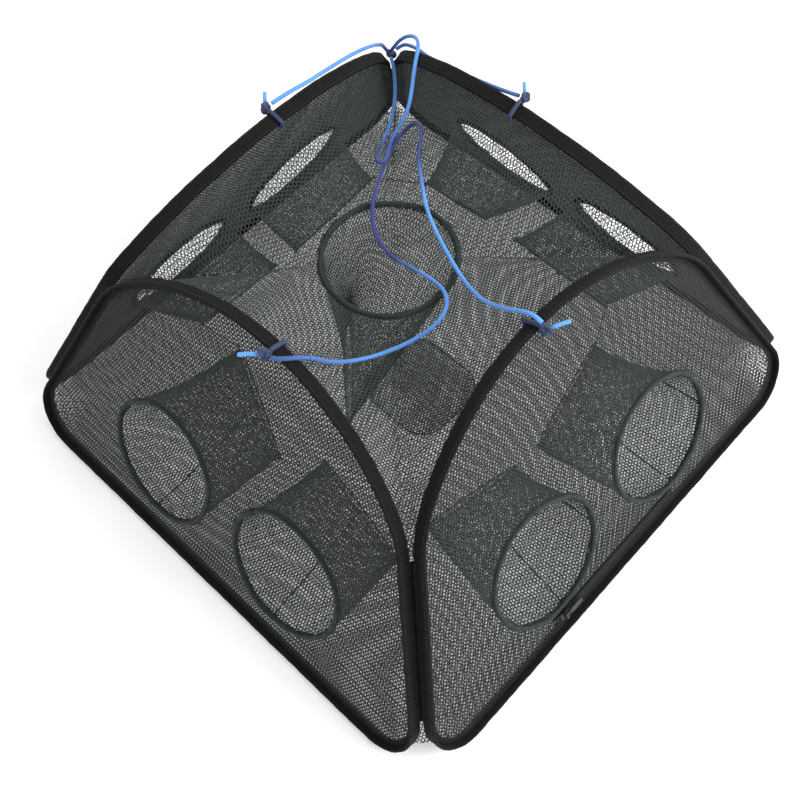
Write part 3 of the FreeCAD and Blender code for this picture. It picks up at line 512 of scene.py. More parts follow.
def skinned(name, rings, closed, along, across, painted_shade_level=None):
    """Mesh over rings of points shaped (rings, sides, 3); open ends are drawn in to a small point."""
    if not closed:
        tips = [ring.mean(0) + (ring - ring.mean(0)) * TIP_SHARE for ring in (rings[0], rings[-1])]
        rings = np.concatenate((tips[:1], rings, tips[1:]))
        along = np.concatenate((along[:1], along, along[-1:]))
        painted_shade_level = None if painted_shade_level is None else np.concatenate((painted_shade_level[:1], painted_shade_level, painted_shade_level[-1:]))
    count, sides = rings.shape[:2]
    mesh = quad_mesh(name, rings.reshape(-1, 3), ring_quads(count, sides, closed))
    shade = None if painted_shade_level is None else np.repeat(painted_shade_level, sides)
    write_lay(mesh, np.repeat(along, sides), np.tile(across, count), shade)
    return mesh


def frames_along(path, closed):
    """Directions beside a line that turn with it as little as they can."""
    if closed:
        ahead = np.roll(path, -1, 0) - np.roll(path, 1, 0)
    else:
        ahead = np.gradient(path, axis=0)
    ahead /= np.linalg.norm(ahead, axis=1, keepdims=True)
    start = np.cross(ahead[0], (0.31, 0.17, 0.93))
    beside = [start / np.linalg.norm(start)]
    for k in range(1, len(path)):
        carried = beside[-1] - ahead[k] * (beside[-1] @ ahead[k])
        beside.append(carried / np.linalg.norm(carried))
    beside = np.array(beside)
    return beside, np.cross(ahead, beside)


def cord_mesh(name, path, radius, sides, closed, relief, twist=900.0, painted_shade_level=None):
    """Round cord along a line, with the raised diamonds of a braid."""
    beside, above = frames_along(path, closed)
    along = run(path)
    angles = np.linspace(0, 2 * math.pi, sides, endpoint=False)
    turn = along[:, None] * twist
    braid = np.sqrt(np.abs(np.sin(3 * angles + turn) * np.sin(3 * angles - turn)))
    reach = radius * (1 - relief + relief * braid)
    rings = (path[:, None] + (beside[:, None] * np.cos(angles)[None, :, None]
                              + above[:, None] * np.sin(angles)[None, :, None]) * reach[:, :, None])
    return skinned(name, rings, closed, along, angles * radius, painted_shade_level)


def strip_mesh(name, centres, wide, deep, half_width, half_depth, along, closed, sides=20, boxy=0.42):
    """Flat strip with rounded edges along a line; wide and deep are its directions at each point."""
    angles = np.linspace(0, 2 * math.pi, sides, endpoint=False)
    across = np.sign(np.cos(angles)) * np.abs(np.cos(angles)) ** boxy
    through = np.sign(np.sin(angles)) * np.abs(np.sin(angles)) ** 0.7
    half_width = np.broadcast_to(half_width, (len(centres),))
    half_depth = np.broadcast_to(half_depth, (len(centres),))
    rings = (centres[:, None] + wide[:, None] * (across[None, :] * half_width[:, None])[:, :, None]
             + deep[:, None] * (through[None, :] * half_depth[:, None])[:, :, None])
    return skinned(name, rings, closed, along, across * half_width.mean())


def joined(name, meshes):
    """One mesh from several, with their attributes kept."""
    points, quads, lays, painted_shade_levels, first = [], [], [], [], 0
    for mesh in meshes:
        count = len(mesh.vertices)
        co = np.empty(count * 3, np.float32)
        mesh.vertices.foreach_get("co", co)
        corners = np.empty(len(mesh.loops), np.int32)
        mesh.loops.foreach_get("vertex_index", corners)
        lay = np.empty(count * 3, np.float32)
        mesh.attributes["lay"].data.foreach_get("vector", lay)
        painted_shade_level = np.zeros(count, np.float32)
        if "painted_shade" in mesh.attributes:
            mesh.attributes["painted_shade"].data.foreach_get("value", painted_shade_level)
        points.append(co.reshape(-1, 3))
        quads.append(corners.reshape(-1, 4) + first)
        lays.append(lay.reshape(-1, 3))
        painted_shade_levels.append(painted_shade_level)
        first += count
        bpy.data.meshes.remove(mesh)
    whole = quad_mesh(name, np.concatenate(points), np.concatenate(quads))
    lay = np.concatenate(lays)
    write_lay(whole, lay[:, 0], lay[:, 1], np.concatenate(painted_shade_levels))
    return whole


def piece(name, mesh, material, body, slot, *nodes):
    """Object that rides on a body and stands for some nodes, which it hides; its slot is not used."""
    thing = bpy.data.objects.new(name, mesh)
    bpy.context.scene.collection.objects.link(thing)
    thing.data.materials.append(material)
    if body:
        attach(thing, body)
    if nodes:
        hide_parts(*nodes)
    return thing


def fold_against(thing, side):
    """Gives a soft piece its own copy of its mesh; the point it would fold to on its side panel is worked
    out but not used.
    """
    anchor = on_panel(side, ((0.0, FOLD_HEIGHT, -BAND_WIDTH / 2),))[0]
    tuple(panel_normal(side))
    tuple(anchor)
    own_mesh(thing)


# ---------------------------------------------------------------- netting

def brick_net(low, high, pitch_along, pitch_up):
    """Bars of a knotless net over a rectangle: starts, ends, and whether each bar is a doubled one."""
    columns = int(math.ceil((high[0] - low[0]) / pitch_along)) + 2
    rows = int(math.ceil((high[1] - low[1]) / pitch_up)) + 2
    i, j = np.meshgrid(np.arange(-1, columns), np.arange(-1, rows), indexing="ij")
    i, j = i.ravel(), j.ravel()
    lift = CREST * pitch_up
    u = low[0] + (i + 0.5 * (j % 2)) * pitch_along
    v = low[1] + j * pitch_up
    foot = np.stack((u, v), 1)
    crest = np.stack((u + pitch_along / 2, v + lift), 1)
    beside = np.stack((u + pitch_along, v), 1)
    above = np.stack((u + pitch_along / 2, v + pitch_up), 1)
    starts = np.concatenate((foot, crest, crest))
    ends = np.concatenate((crest, beside, above))
    doubled = np.repeat((False, False, True), len(i))
    return starts, ends, doubled


def trimmed(bars, inside):
    """Bars cut where a region ends; inside gives each place's distance into the region."""
    starts, ends, doubled = bars
    near, far = inside(starts), inside(ends)
    kept = (near > 0) | (far > 0)
    starts, ends, near, far, doubled = starts[kept], ends[kept], near[kept], far[kept], doubled[kept]
    share = near / np.where(np.abs(near - far) < 1e-9, 1.0, near - far)
    cross = starts + (ends - starts) * np.clip(share, 0, 1)[:, None]
    starts = np.where((near <= 0)[:, None], cross, starts)
    ends = np.where((far <= 0)[:, None], cross, ends)
    long_enough = np.linalg.norm(ends - starts, axis=1) > 1e-6
    return starts[long_enough], ends[long_enough], doubled[long_enough]


def woven_mesh(name, bars, surface, width, gauge, seed, nudge):
    """Mesh of a net's bars laid on a surface; surface turns net places into metres."""
    starts, ends, doubled = bars
    source = np.random.default_rng(seed)
    middle = (starts + ends) / 2
    small = nudge * 0.2
    low, right, up = (surface(middle + shift) for shift in ((0, 0), (small, 0), (0, small)))
    normal = np.cross(right - low, up - low)
    normal /= np.maximum(np.linalg.norm(normal, axis=1, keepdims=True), 1e-12)
    first, last = surface(starts), surface(ends)
    ahead = last - first
    length = np.linalg.norm(ahead, axis=1, keepdims=True)
    ahead /= np.maximum(length, 1e-12)
    beside = np.cross(normal, ahead)
    half = width / 2 * np.where(doubled, DOUBLED_BAR, SINGLE_BAR)
    half *= source.uniform(*BAR_SPREAD, len(starts))
    stretch = ahead * (half * BAR_OVERLAP)[:, None]
    first, last = first - stretch, last + stretch
    wide, thick = beside * half[:, None], normal * (gauge / 2)
    corners = [wide - thick, thick, -wide - thick]
    points = np.stack([end + corner for end in (first, last) for corner in corners], 1).reshape(-1, 3)
    base = np.arange(len(starts))[:, None] * 6
    quads = np.concatenate([base + (k, (k + 1) % 3, (k + 1) % 3 + 3, k + 3) for k in range(3)])
    return quad_mesh(name, points, quads)


def within_line(line):
    """Distance of places inside a rounded closed line without hollows."""
    edges = np.roll(line, -1, 0) - line
    keep = np.linalg.norm(edges, axis=1) > 1e-6
    spots, edges = line[keep], edges[keep]
    normals = np.stack((-edges[:, 1], edges[:, 0]), 1) / np.linalg.norm(edges, axis=1)[:, None]
    offsets = (normals * spots).sum(1)

    def inside(places):
        return np.concatenate([(block @ normals.T - offsets).min(1)
                               for block in np.array_split(places, max(1, len(places) // 8000))])
    return inside


def rounded_line(half_x, half_y, radius, centre=(0.0, 0.0)):
    """Closed line of a rectangle with rounded corners."""
    quarters = []
    for k, (sx, sy) in enumerate(((1, -1), (1, 1), (-1, 1), (-1, -1))):
        middle = (centre[0] + sx * (half_x - radius), centre[1] + sy * (half_y - radius))
        quarters.append(arc(middle, radius, (k - 1) * math.pi / 2, k * math.pi / 2))
    return np.concatenate(quarters)


def net_flat(places):
    """Width and length of the cut that a net's places fill, in metres."""
    return tuple(float(reach) / 1000 for reach in places.max(0) - places.min(0))


def net_pitches(nets):
    """Width and height of a mesh, in millimetres."""
    return nets.pitch_along * 1000, nets.pitch_up * 1000


# ---------------------------------------------------------------- shader groups

def built_once(store):
    """Lets a builder give what it built before under the same name."""
    def wrap(build):
        def find(name, *values):
            return getattr(bpy.data, store).get(name) or build(name, *values)
        return find
    return wrap


def feed(tree, socket, value):
    """Links a socket into another one, or sets a plain value on it."""
    if isinstance(value, bpy.types.NodeSocket):
        tree.links.new(value, socket)
    else:
        socket.default_value = value


def node(tree, kind, sockets=(), **settings):
    """New node with its settings, and with values or links on its input sockets."""
    made = tree.nodes.new(kind)
    for key, value in settings.items():
        setattr(made, key, value)
    for label, value in dict(sockets).items():
        feed(tree, made.inputs[label], value)
    return made


def maths(tree, operation, first, second=None):
    """Math node on sockets or numbers; gives its output."""
    values = (first,) if second is None else (first, second)
    return node(tree, "ShaderNodeMath", enumerate(values), operation=operation).outputs[0]


def scaled(tree, colour, level):
    """A colour made lighter or darker by a level."""
    return node(tree, "ShaderNodeVectorMath", {0: colour, "Scale": level}, operation="SCALE").outputs[0]


def mixed(tree, share, first, second):
    """A colour between two others."""
    sockets = {"Factor": share, "A": first, "B": second}
    return node(tree, "ShaderNodeMix", sockets, data_type="RGBA").outputs["Result"]


def noise(tree, place, scale, detail, roughness=0.5):
    """Noise that varies over a place."""
    sockets = {"Vector": place, "Scale": scale, "Detail": detail, "Roughness": roughness}
    return node(tree, "ShaderNodeTexNoise", sockets).outputs["Fac"]


def new_group(name, inputs, outputs):
    """Shader group with named sockets; gives the tree and its two end nodes."""
    group = bpy.data.node_groups.new(name, "ShaderNodeTree")
    for label, kind, value in inputs:
        socket = group.interface.new_socket(label, in_out="INPUT", socket_type=kind)
        if value is not None:
            socket.default_value = value
    for label, kind in outputs:
        group.interface.new_socket(label, in_out="OUTPUT", socket_type=kind)
    return group, node(group, "NodeGroupInput"), node(group, "NodeGroupOutput")


@built_once("node_groups")
def weave_group(name):
    """Plain weave: yarns along and across a strip that pass over and under each other."""
    group, enter, leave = new_group(
        name,
        (("Lay", "NodeSocketVector", None), ("Yarns Per Metre", "NodeSocketFloat", 1400.0)),
        (("Height", "NodeSocketFloat"), ("Gap", "NodeSocketFloat")))
    split = node(group, "ShaderNodeSeparateXYZ", {0: enter.outputs["Lay"]})
    waves = []
    for axis in (0, 1):
        turns = maths(group, "MULTIPLY", split.outputs[axis], enter.outputs["Yarns Per Metre"])
        waves.append(maths(group, "SINE", maths(group, "MULTIPLY", turns, math.pi)))
    over = maths(group, "GREATER_THAN", maths(group, "MULTIPLY", *waves), 0.0)
    under = maths(group, "SUBTRACT", 1.0, over)
    warp, weft = (maths(group, "ABSOLUTE", wave) for wave in waves)
    above, below = maths(group, "MULTIPLY", warp, over), maths(group, "MULTIPLY", weft, under)
    gap = maths(group, "SUBTRACT", 1.0, maths(group, "MULTIPLY", warp, weft))
    group.links.new(maths(group, "ADD", above, below), leave.inputs["Height"])
    group.links.new(maths(group, "POWER", gap, 3.0), leave.inputs["Gap"])
    return group


@built_once("node_groups")
def ply_group(name):
    """Twisted or knitted strands that cross a cord or bar aslant."""
    group, enter, leave = new_group(
        name,
        (("Lay", "NodeSocketVector", None), ("Along", "NodeSocketFloat", 900.0),
         ("Across", "NodeSocketFloat", 1500.0)),
        (("Height", "NodeSocketFloat"), ("Groove", "NodeSocketFloat")))
    split = node(group, "ShaderNodeSeparateXYZ", {0: enter.outputs["Lay"]})
    along, across = (maths(group, "MULTIPLY", split.outputs[axis], enter.outputs[label])
                     for axis, label in enumerate(("Along", "Across")))
    one, other = (maths(group, "ABSOLUTE", maths(group, "SINE", maths(group, way, along, across)))
                  for way in ("ADD", "SUBTRACT"))
    groove = maths(group, "SUBTRACT", 1.0, maths(group, "MULTIPLY", one, other))
    group.links.new(maths(group, "MAXIMUM", one, other), leave.inputs["Height"])
    group.links.new(groove, leave.inputs["Groove"])
    return group


@built_once("node_groups")
def wear_group(name):
    """Uneven fading of a dyed colour, with pale dust that settles on faces that look up."""
    group, enter, leave = new_group(
        name,
        (("Colour", "NodeSocketColor", None), ("Dust", "NodeSocketColor", None),
         ("Patch Scale", "NodeSocketFloat", 14.0), ("Fade", "NodeSocketFloat", 0.25),
         ("Settled", "NodeSocketFloat", 0.06)),
        (("Colour", "NodeSocketColor"),))
    place = node(group, "ShaderNodeTexCoord").outputs["Object"]
    patches = noise(group, place, enter.outputs["Patch Scale"], 4.0, 0.6)
    specks = noise(group, place, 900.0, 2.0)
    swing = maths(group, "MULTIPLY", maths(group, "SUBTRACT", patches, 0.5), 2.0)
    level = maths(group, "ADD", 1.0, maths(group, "MULTIPLY", swing, enter.outputs["Fade"]))
    facing = node(group, "ShaderNodeNewGeometry").outputs["Normal"]
    split = node(group, "ShaderNodeSeparateXYZ", {0: facing})
    upward = maths(group, "MAXIMUM", split.outputs[2], 0.0)
    speck = maths(group, "GREATER_THAN", specks, 0.56)
    grains = maths(group, "MULTIPLY", upward, maths(group, "ADD", 0.35, speck))
    mask = maths(group, "MINIMUM", maths(group, "MULTIPLY", grains, enter.outputs["Settled"]), 1.0)
    faded = scaled(group, enter.outputs["Colour"], level)
    group.links.new(mixed(group, mask, faded, enter.outputs["Dust"]), leave.inputs["Colour"])
    return group


# ---------------------------------------------------------------- materials

def toned(colour, level=1.0):
    """A colour of the settings, made lighter or darker."""
    return tuple(level * part for part in colour)


def blank_material(name, roughness, **surface):
    """Material with a plain shader whose constant sockets are set on the shader itself."""
    material = bpy.data.materials.new(name)
    material.use_nodes = True
    shader = material.node_tree.nodes["Principled BSDF"]
    shader.inputs["Roughness"].default_value = roughness
    for label, value in surface.items():
        shader.inputs[label.replace("_", " ")].default_value = value
    return material, material.node_tree, shader


def lay_vector(tree):
    """Distances along and across a strip or cord, as its mesh stores them."""
    return node(tree, "ShaderNodeAttribute", attribute_name="lay").outputs["Vector"]


def strands(tree, along, across):
    """Height and groove of twisted strands, placed in a material with their own twist."""
    sockets = {"Along": along, "Across": across, "Lay": lay_vector(tree)}
    made = node(tree, "ShaderNodeGroup", sockets, node_tree=ply_group("Twisted Strands"))
    return made.outputs["Height"], made.outputs["Groove"]


def worn(tree, colour, dust, patch, fade, settled):
    """A colour faded and dusty, placed in a material with its own values."""
    dyed = colour if isinstance(colour, bpy.types.NodeSocket) else (*colour, 1.0)
    sockets = {"Colour": dyed, "Dust": (*dust, 1.0), "Patch Scale": patch, "Fade": fade, "Settled": settled}
    made = node(tree, "ShaderNodeGroup", sockets, node_tree=wear_group("Fade And Dust"))
    return made.outputs["Colour"]


def shaded(tree, colour, mask, strength):
    """A colour darkened by a mask; where the mask gives gaps or grooves between yarns or strands, this is
    painted shade.
    """
    return scaled(tree, colour, maths(tree, "SUBTRACT", 1.0, maths(tree, "MULTIPLY", mask, strength)))


def dressed(tree, shader, colour, mask, rough, swing, height, lift, strength=1.0):
    """Gives a shader its colour, a roughness that follows a mask, and a bump."""
    bump = node(tree, "ShaderNodeBump", {"Distance": lift, "Strength": strength, "Height": height})
    uneven = maths(tree, "ADD", rough, maths(tree, "MULTIPLY", mask, swing))
    feed(tree, shader.inputs["Base Color"], colour)
    feed(tree, shader.inputs["Roughness"], uneven)
    feed(tree, shader.inputs["Normal"], bump.outputs["Normal"])


@built_once("materials")
def woven_material(name, colour, yarns, fade, settled):
    """Woven polyester fabric with yarns, sheen, fading, dust and painted shade in the gaps between yarns.
    """
    material, tree, shader = blank_material(name, 0.8, Specular_IOR_Level=0.1, Sheen_Weight=0.01,
                                            Sheen_Roughness=0.45)
    sockets = {"Yarns Per Metre": yarns, "Lay": lay_vector(tree)}
    weave = node(tree, "ShaderNodeGroup", sockets, node_tree=weave_group("Plain Weave"))
    gap = weave.outputs["Gap"]
    dusty = worn(tree, colour, (0.05, 0.05, 0.048), 18.0, fade, settled)
    # Painted shade: the gaps between yarns are darkened.
    dressed(tree, shader, shaded(tree, dusty, gap, 0.5), gap, 0.62, 0.25, weave.outputs["Height"], 0.00012)
    return material


def sleeve_cloth(colours):
    """Cloth of the sleeves and the corner tapes."""
    return woven_material("sleeve_cloth", toned(colours.sleeve), SLEEVE_YARNS, 0.3, 0.10)


@built_once("materials")
def net_material(name, colour):
    """Knitted monofilament netting with a slight gloss on its bars."""
    material, tree, shader = blank_material(name, 0.55, Specular_IOR_Level=0.35, Sheen_Weight=0.05)
    dusty = worn(tree, colour, (0.12, 0.13, 0.12), 9.0, 0.35, 0.05)
    knit = noise(tree, node(tree, "ShaderNodeTexCoord").outputs["Object"], 1600.0, 3.0)
    dressed(tree, shader, dusty, knit, 0.38, 0.35, knit, 0.0002, 0.8)
    return material


@built_once("materials")
def strand_material(name, colour, along, across, settled):
    """Twisted or whipped thread, with painted shade in the grooves between its strands."""
    material, tree, shader = blank_material(name, 0.6, Specular_IOR_Level=0.3, Sheen_Weight=0.08)
    height, groove = strands(tree, along, across)
    dusty = worn(tree, colour, (0.13, 0.14, 0.13), 25.0, 0.3, settled)
    # Painted shade: the grooves between strands are darkened.
    dressed(tree, shader, shaded(tree, dusty, groove, 0.45), groove, 0.5, 0.2, height, 0.0001)
    return material


@built_once("materials")
def braid_material(name, light, painted_shade, roughness):
    """Braided nylon cord, pale blue, with navy painted shade where it lies in shade."""
    material, tree, shader = blank_material(name, roughness, Specular_IOR_Level=0.45, Sheen_Weight=0.15)
    # Painted shade: the stored level mixes the pale blue towards navy where the cord lies in shade.
    shade = node(tree, "ShaderNodeAttribute", attribute_name="painted_shade").outputs["Fac"]
    dyed = mixed(tree, shade, (*light, 1.0), (*painted_shade, 1.0))
    height, groove = strands(tree, 900.0, 1500.0)
    dusty = worn(tree, dyed, (0.30, 0.34, 0.45), 60.0, 0.3, 0.05)
    # Painted shade: the grooves between the braid's strands are darkened.
    dressed(tree, shader, shaded(tree, dusty, groove, 0.25), groove, roughness - 0.08, 0.2, height, 0.00025)
    return material


@built_once("materials")
def hard_material(name, colour, metallic, roughness, grain, stretch=1.0):
    """Painted or bare metal, or moulded plastic, with fine marks and worn paint."""
    material, tree, shader = blank_material(name, roughness, Metallic=metallic, Specular_IOR_Level=0.45)
    place = node(tree, "ShaderNodeTexCoord").outputs["Object"]
    aimed = node(tree, "ShaderNodeMapping", {"Vector": place, "Scale": (1.0, 1.0, stretch)})
    marks = noise(tree, aimed.outputs["Vector"], grain, 4.0)
    scuffed = shaded(tree, worn(tree, colour, (0.20, 0.20, 0.20), 120.0, 0.2, 0.05), marks, 0.3)
    dressed(tree, shader, scuffed, marks, roughness - 0.12, 0.24, marks, 0.00006, 0.6)
    return material


def paint_node(name, material, bevel=0.0):
    """Gives a node of the solid model its material, and softens its edges."""
    thing = bpy.data.objects[name]
    if thing.material_slots:
        for entry in thing.material_slots:
            entry.material = material
    else:
        thing.data.materials.append(material)
    if bevel:
        edge = thing.modifiers.new("soft_edges", "BEVEL")
        edge.width = bevel
        edge.segments = 2
        edge.limit_method = "ANGLE"


# ---------------------------------------------------------------- operators

class CRAB_TRAP_OT_hoops(bpy.types.Operator):
    """Finish the spring-steel strips and the ferrules that join their ends"""
    bl_idname = "crab_trap.hoops"
    bl_label = "Hoop steel"

    def execute(self, context):
        steel = context.scene.crab_trap_colours.steel
        strip = hard_material("spring_steel", toned(steel), 1.0, 0.38, 60.0, 6.0)
        crimp = hard_material("crimped_steel", toned(steel, 0.8), 1.0, 0.45, 220.0)
        for side in SIDES:
            paint_node("hoop_strip_" + side, strip)
            paint_node("hoop_ferrule_" + side, crimp, 0.0003)
        return {"FINISHED"}


class CRAB_TRAP_OT_sleeves(bpy.types.Operator):
    """Sew the woven sleeves round the hoops, with a row of stitches along each edge"""
    bl_idname = "crab_trap.sleeves"
    bl_label = "Hoop sleeves"

    def execute(self, context):
        trim = context.scene.crab_trap_trim
        colours = context.scene.crab_trap_colours
        cloth = sleeve_cloth(colours)
        thread = strand_material("sewing_thread", toned(colours.sleeve, 1.9), 2500.0, 4000.0, 0.08)
        line, at = walked(hoop_line(0.0), 2.5)
        outward = outward_of(line)
        for number, side in enumerate(SIDES):
            ripple = waver("sleeve_ripple", at, number) + waver("sleeve_pucker", at, number)
            ripple *= trim.pucker * 1000
            aside = waver("sleeve_sway", at, number)
            thick = np.clip(HALF_BAND + ripple, *SLEEVE_LIMITS)
            wide = BAND_WIDTH / 2 + 0.5 * ripple
            spots, deep, across = laid_out(side, np.column_stack((line, aside)), outward, OUTWARD)
            mesh = strip_mesh("sleeve_" + side, spots, across, deep, wide, thick, at / 1000, True)
            piece("sleeve_" + side, mesh, cloth, side, "binding_fabric", "binding_" + side)
            self.stitch(side, line, outward, at, (thick, wide, aside), trim, thread)
        return {"FINISHED"}

    def stitch(self, side, line, outward, at, sleeve, trim, thread):
        """Two rows of short raised stitches on the sleeve's outer face."""
        thick, wide, aside = sleeve
        rings, sides = 5, 6
        total = at[-1] + at[1]
        count = int(total / ((trim.stitch_length + trim.stitch_gap) * 1000))
        starts = np.arange(count) * total / count
        spread = np.linspace(0, 1, rings)
        where = (starts[:, None] + spread[None, :] * trim.stitch_length * 1000).ravel()
        bulge = np.sin(spread * math.pi)

        def there(values):
            return np.interp(where, at, values, period=total)

        foot = np.column_stack((there(line[:, 0]), there(line[:, 1]), 0 * where))
        away = np.column_stack((there(outward[:, 0]), there(outward[:, 1]), 0 * where))
        reach = there(thick) * 0.97 + np.tile(bulge, count) * STITCH_ARCH - 0.05
        slant = np.tile(spread - 0.5, count) * STITCH_SLANT
        half = trim.stitch_width / 2 * (0.55 + 0.45 * bulge)[:, None, None]
        angles = np.linspace(0, 2 * math.pi, sides, endpoint=False)
        cos, sin = np.cos(angles)[:, None], np.sin(angles)[:, None]
        quads = ring_quads(rings, sides, False) + (np.arange(count) * rings * sides)[:, None, None]
        parts = []
        for sign in (-1, 1):
            row = there(aside + sign * (wide - STITCH_INSET)) + slant
            centre = foot + away * reach[:, None] + np.outer(row, OUTWARD)
            spots, deep, across = (value.reshape(count, rings, 1, 3)
                                   for value in laid_out(side, centre, away, OUTWARD))
            skin = spots + (across * cos + deep * sin) * 1000 * half
            mesh = quad_mesh("stitches", skin.reshape(-1, 3), quads.reshape(-1, 4))
            write_lay(mesh, np.repeat(where / 1000, sides), np.tile(angles * 0.0003, count * rings))
            parts.append(mesh)
        piece("stitches_" + side, joined("stitches_" + side, parts), thread, side, "binding_fabric")


class CRAB_TRAP_OT_corner_tapes(bpy.types.Operator):
    """Sew a tape inside each corner, where two panels meet"""
    bl_idname = "crab_trap.corner_tapes"
    bl_label = "Corner tapes"

    def execute(self, context):
        cloth = sleeve_cloth(context.scene.crab_trap_colours)
        low, high = (height / math.cos(SEAM_TILT) for height in seam_heights())
        high -= TAPE_WIDTH / 2
        at = np.arange(low, high, 2.5)
        for number, (corner, (turn, before, after)) in enumerate(CORNERS.items()):
            foot, across, up, out = seam_place(turn)
            ripple = waver("tape_ripple", at, number)
            depth = ripple - TAPE_SETBACK - TAPE_GAUGE / 2
            centre = (foot + at[:, None] * up + depth[:, None] * out) / 1000
            wide, deep = (np.tile(way / 1000, (len(at), 1)) for way in (across, out))
            mesh = strip_mesh("corner_tape_" + corner, centre, wide, deep, TAPE_WIDTH / 2 + 0.8 * ripple,
                              TAPE_GAUGE / 2, at / 1000, False, boxy=0.3)
            jointed = corner != "left_back"
            tape = piece("corner_tape_" + corner, mesh, cloth, None if jointed else "back",
                         "binding_fabric", "seam_tape_" + corner)
            if jointed:
                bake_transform(tape)
        return {"FINISHED"}


class CRAB_TRAP_OT_side_nets(bpy.types.Operator):
    """Knit a net panel inside each hoop, hemmed along the sleeve and open at its rings and zip"""
    bl_idname = "crab_trap.side_nets"
    bl_label = "Side netting"

    def execute(self, context):
        nets = context.scene.crab_trap_netting
        trim = context.scene.crab_trap_trim
        colour = context.scene.crab_trap_colours.side_net
        pitch_along, pitch_up = net_pitches(nets)
        material = net_material("side_netting_knit", toned(colour))
        edge_cloth = woven_material("net_hem_cloth", toned(colour, 0.8), HEM_YARNS, 0.3, 0.05)
        outline = hoop_line(HALF_BAND + SOFT_GAP)
        low, high = outline.min(0), outline.max(0)
        within = within_line(outline)
        hole = ENTRY_RADIUS + RING_CLEAR
        zip_hole = np.array((ZIP_LENGTH / 2, ZIP_TAPE + ZIP_GAP / 2)) + SOFT_GAP
        for number, side in enumerate(SIDES):
            def inside(places, side=side):
                depth = within(places)
                for home, middle in ENTRIES.values():
                    if home == side:
                        depth = np.minimum(depth, np.linalg.norm(places - middle, axis=1) - hole)
                if side == "right":
                    away = np.abs(places - (ZIP_OFFSET, ZIP_HEIGHT)) - zip_hole
                    depth = np.minimum(depth, away.max(1))
                return depth

            def surface(places, side=side, number=number, inside=inside):
                swell = waver("panel_swell", places[:, 0] + 0.4 * places[:, 1], number)
                swell *= np.clip(inside(places) / 25.0, 0, 1)
                return on_panel(side, np.column_stack((places, swell)))

            bars = trimmed(brick_net(low, high, pitch_along, pitch_up), inside)
            mesh = woven_mesh("net_" + side, bars, surface, nets.bar_width, nets.bar_gauge,
                              SEEDS["side_net"] + number, pitch_up)
            net = piece("net_" + side, mesh, material, side, "side_netting", "side_net_" + side)
            holes = 2 * math.pi * hole ** 2
            if side == "right":
                holes += 4 * zip_hole.prod()
            self.hem(side, number, trim, edge_cloth)
        return {"FINISHED"}

    def hem(self, side, number, trim, cloth):
        """Doubled strip of net fabric sewn along the inside of the sleeve."""
        width = trim.hem_width * 1000
        line, at = walked(hoop_line(HALF_BAND + SOFT_GAP + width / 2), 3.0)
        centre = np.column_stack((line, waver("hem_sway", at, number)))
        spots, wide, deep = laid_out(side, centre, outward_of(line), OUTWARD)
        half = (width / 2 + waver("hem_width", at, number)) * self.clear_of_knot(side, line)
        mesh = strip_mesh("hem_" + side, spots, wide, deep, half, 0.4, at / 1000, True, sides=12)
        piece("hem_" + side, mesh, cloth, side, "side_netting")

    def clear_of_knot(self, side, line):
        """Narrows the hem where the lifting cord's loop goes round the sleeve."""
        crown = line[:, 1] > CROWN_HEIGHT * 0.7
        near = crown & (np.abs(line[:, 0] - KNOT_OFFSETS[side]) < CORD)
        return np.where(near, 0.35, 1.0)


class CRAB_TRAP_OT_top_net(bpy.types.Operator):
    """Knit the upper netting from the hoops to the top ring, one quarter for each panel"""
    bl_idname = "crab_trap.top_net"
    bl_label = "Top netting"

    def execute(self, context):
        nets = context.scene.crab_trap_netting
        pitch_along, pitch_up = net_pitches(nets)
        material = net_material("top_netting_knit", toned(context.scene.crab_trap_colours.top_net))
        centre = np.array(TOP_RING[:2])
        hole = TOP_RING_RADIUS + RING_CLEAR
        level = TOP_RING[2]
        rim, corners = self.rim()
        turn = np.unwrap(np.arctan2(rim[:, 1] - centre[1], rim[:, 0] - centre[0]))
        reach = np.linalg.norm(rim[:, :2] - centre, axis=1)

        def polar(places):
            away = places - centre
            angle = np.arctan2(away[:, 1], away[:, 0])
            return (np.linalg.norm(away, axis=1), np.interp(angle, turn, reach, period=2 * math.pi),
                    np.interp(angle, turn, rim[:, 2], period=2 * math.pi))

        def surface(places):
            distance, edge, height = polar(places)
            share = np.clip((distance - hole) / np.maximum(edge - hole, 1e-6), 0, 1)
            z = level + (height - level) * share - 1.2 * np.sin(share * math.pi)
            return np.column_stack((places, z)) / 1000

        for number, side in enumerate(SIDES):
            first, last = (corner - centre for corner in (corners[number - 1], corners[number]))
            first, last = first / np.linalg.norm(first), last / np.linalg.norm(last)

            def inside(places, first=first, last=last):
                distance, edge, _ = polar(places)
                away = places - centre
                depth = np.minimum(edge - distance, distance - hole)
                depth = np.minimum(depth, first[0] * away[:, 1] - first[1] * away[:, 0])
                return np.minimum(depth, away[:, 0] * last[1] - away[:, 1] * last[0])

            bars = trimmed(brick_net(rim[:, :2].min(0), rim[:, :2].max(0), pitch_along, pitch_up), inside)
            mesh = woven_mesh("top_net_" + side, bars, surface, nets.bar_width * TOP_BAR, nets.bar_gauge,
                              SEEDS["top_net"] + number, pitch_up)
            net = piece("top_net_" + side, mesh, material, side, "top_netting", "top_net")
            net_flat(bars[0])
            fold_against(net, side)
        return {"FINISHED"}

    def rim(self):
        """Outer edge of the upper net in millimetres, anticlockwise, and its four corners in plan."""
        shape = hoop_shape(HALF_BAND + SOFT_GAP + NET_SHEET)
        turn = shape["crown_start"]
        right = np.concatenate((arc(shape["shoulder"], shape["shoulder_radius"], SEAM_TILT, turn),
                                arc(shape["crown"], shape["crown_radius"], turn, math.pi / 2)[1:]))
        arch = np.concatenate((right[:-1] * (-1, 1), right[::-1]))
        edge = np.column_stack((arch, np.full(len(arch), -BAND_WIDTH / 2 - SOFT_GAP)))
        arches = [1000 * on_panel(side, edge) for side in SIDES]
        corners = [(arches[k][-1, :2] + arches[(k + 1) % 4][0, :2]) / 2 for k in range(4)]
        return np.concatenate(arches), corners


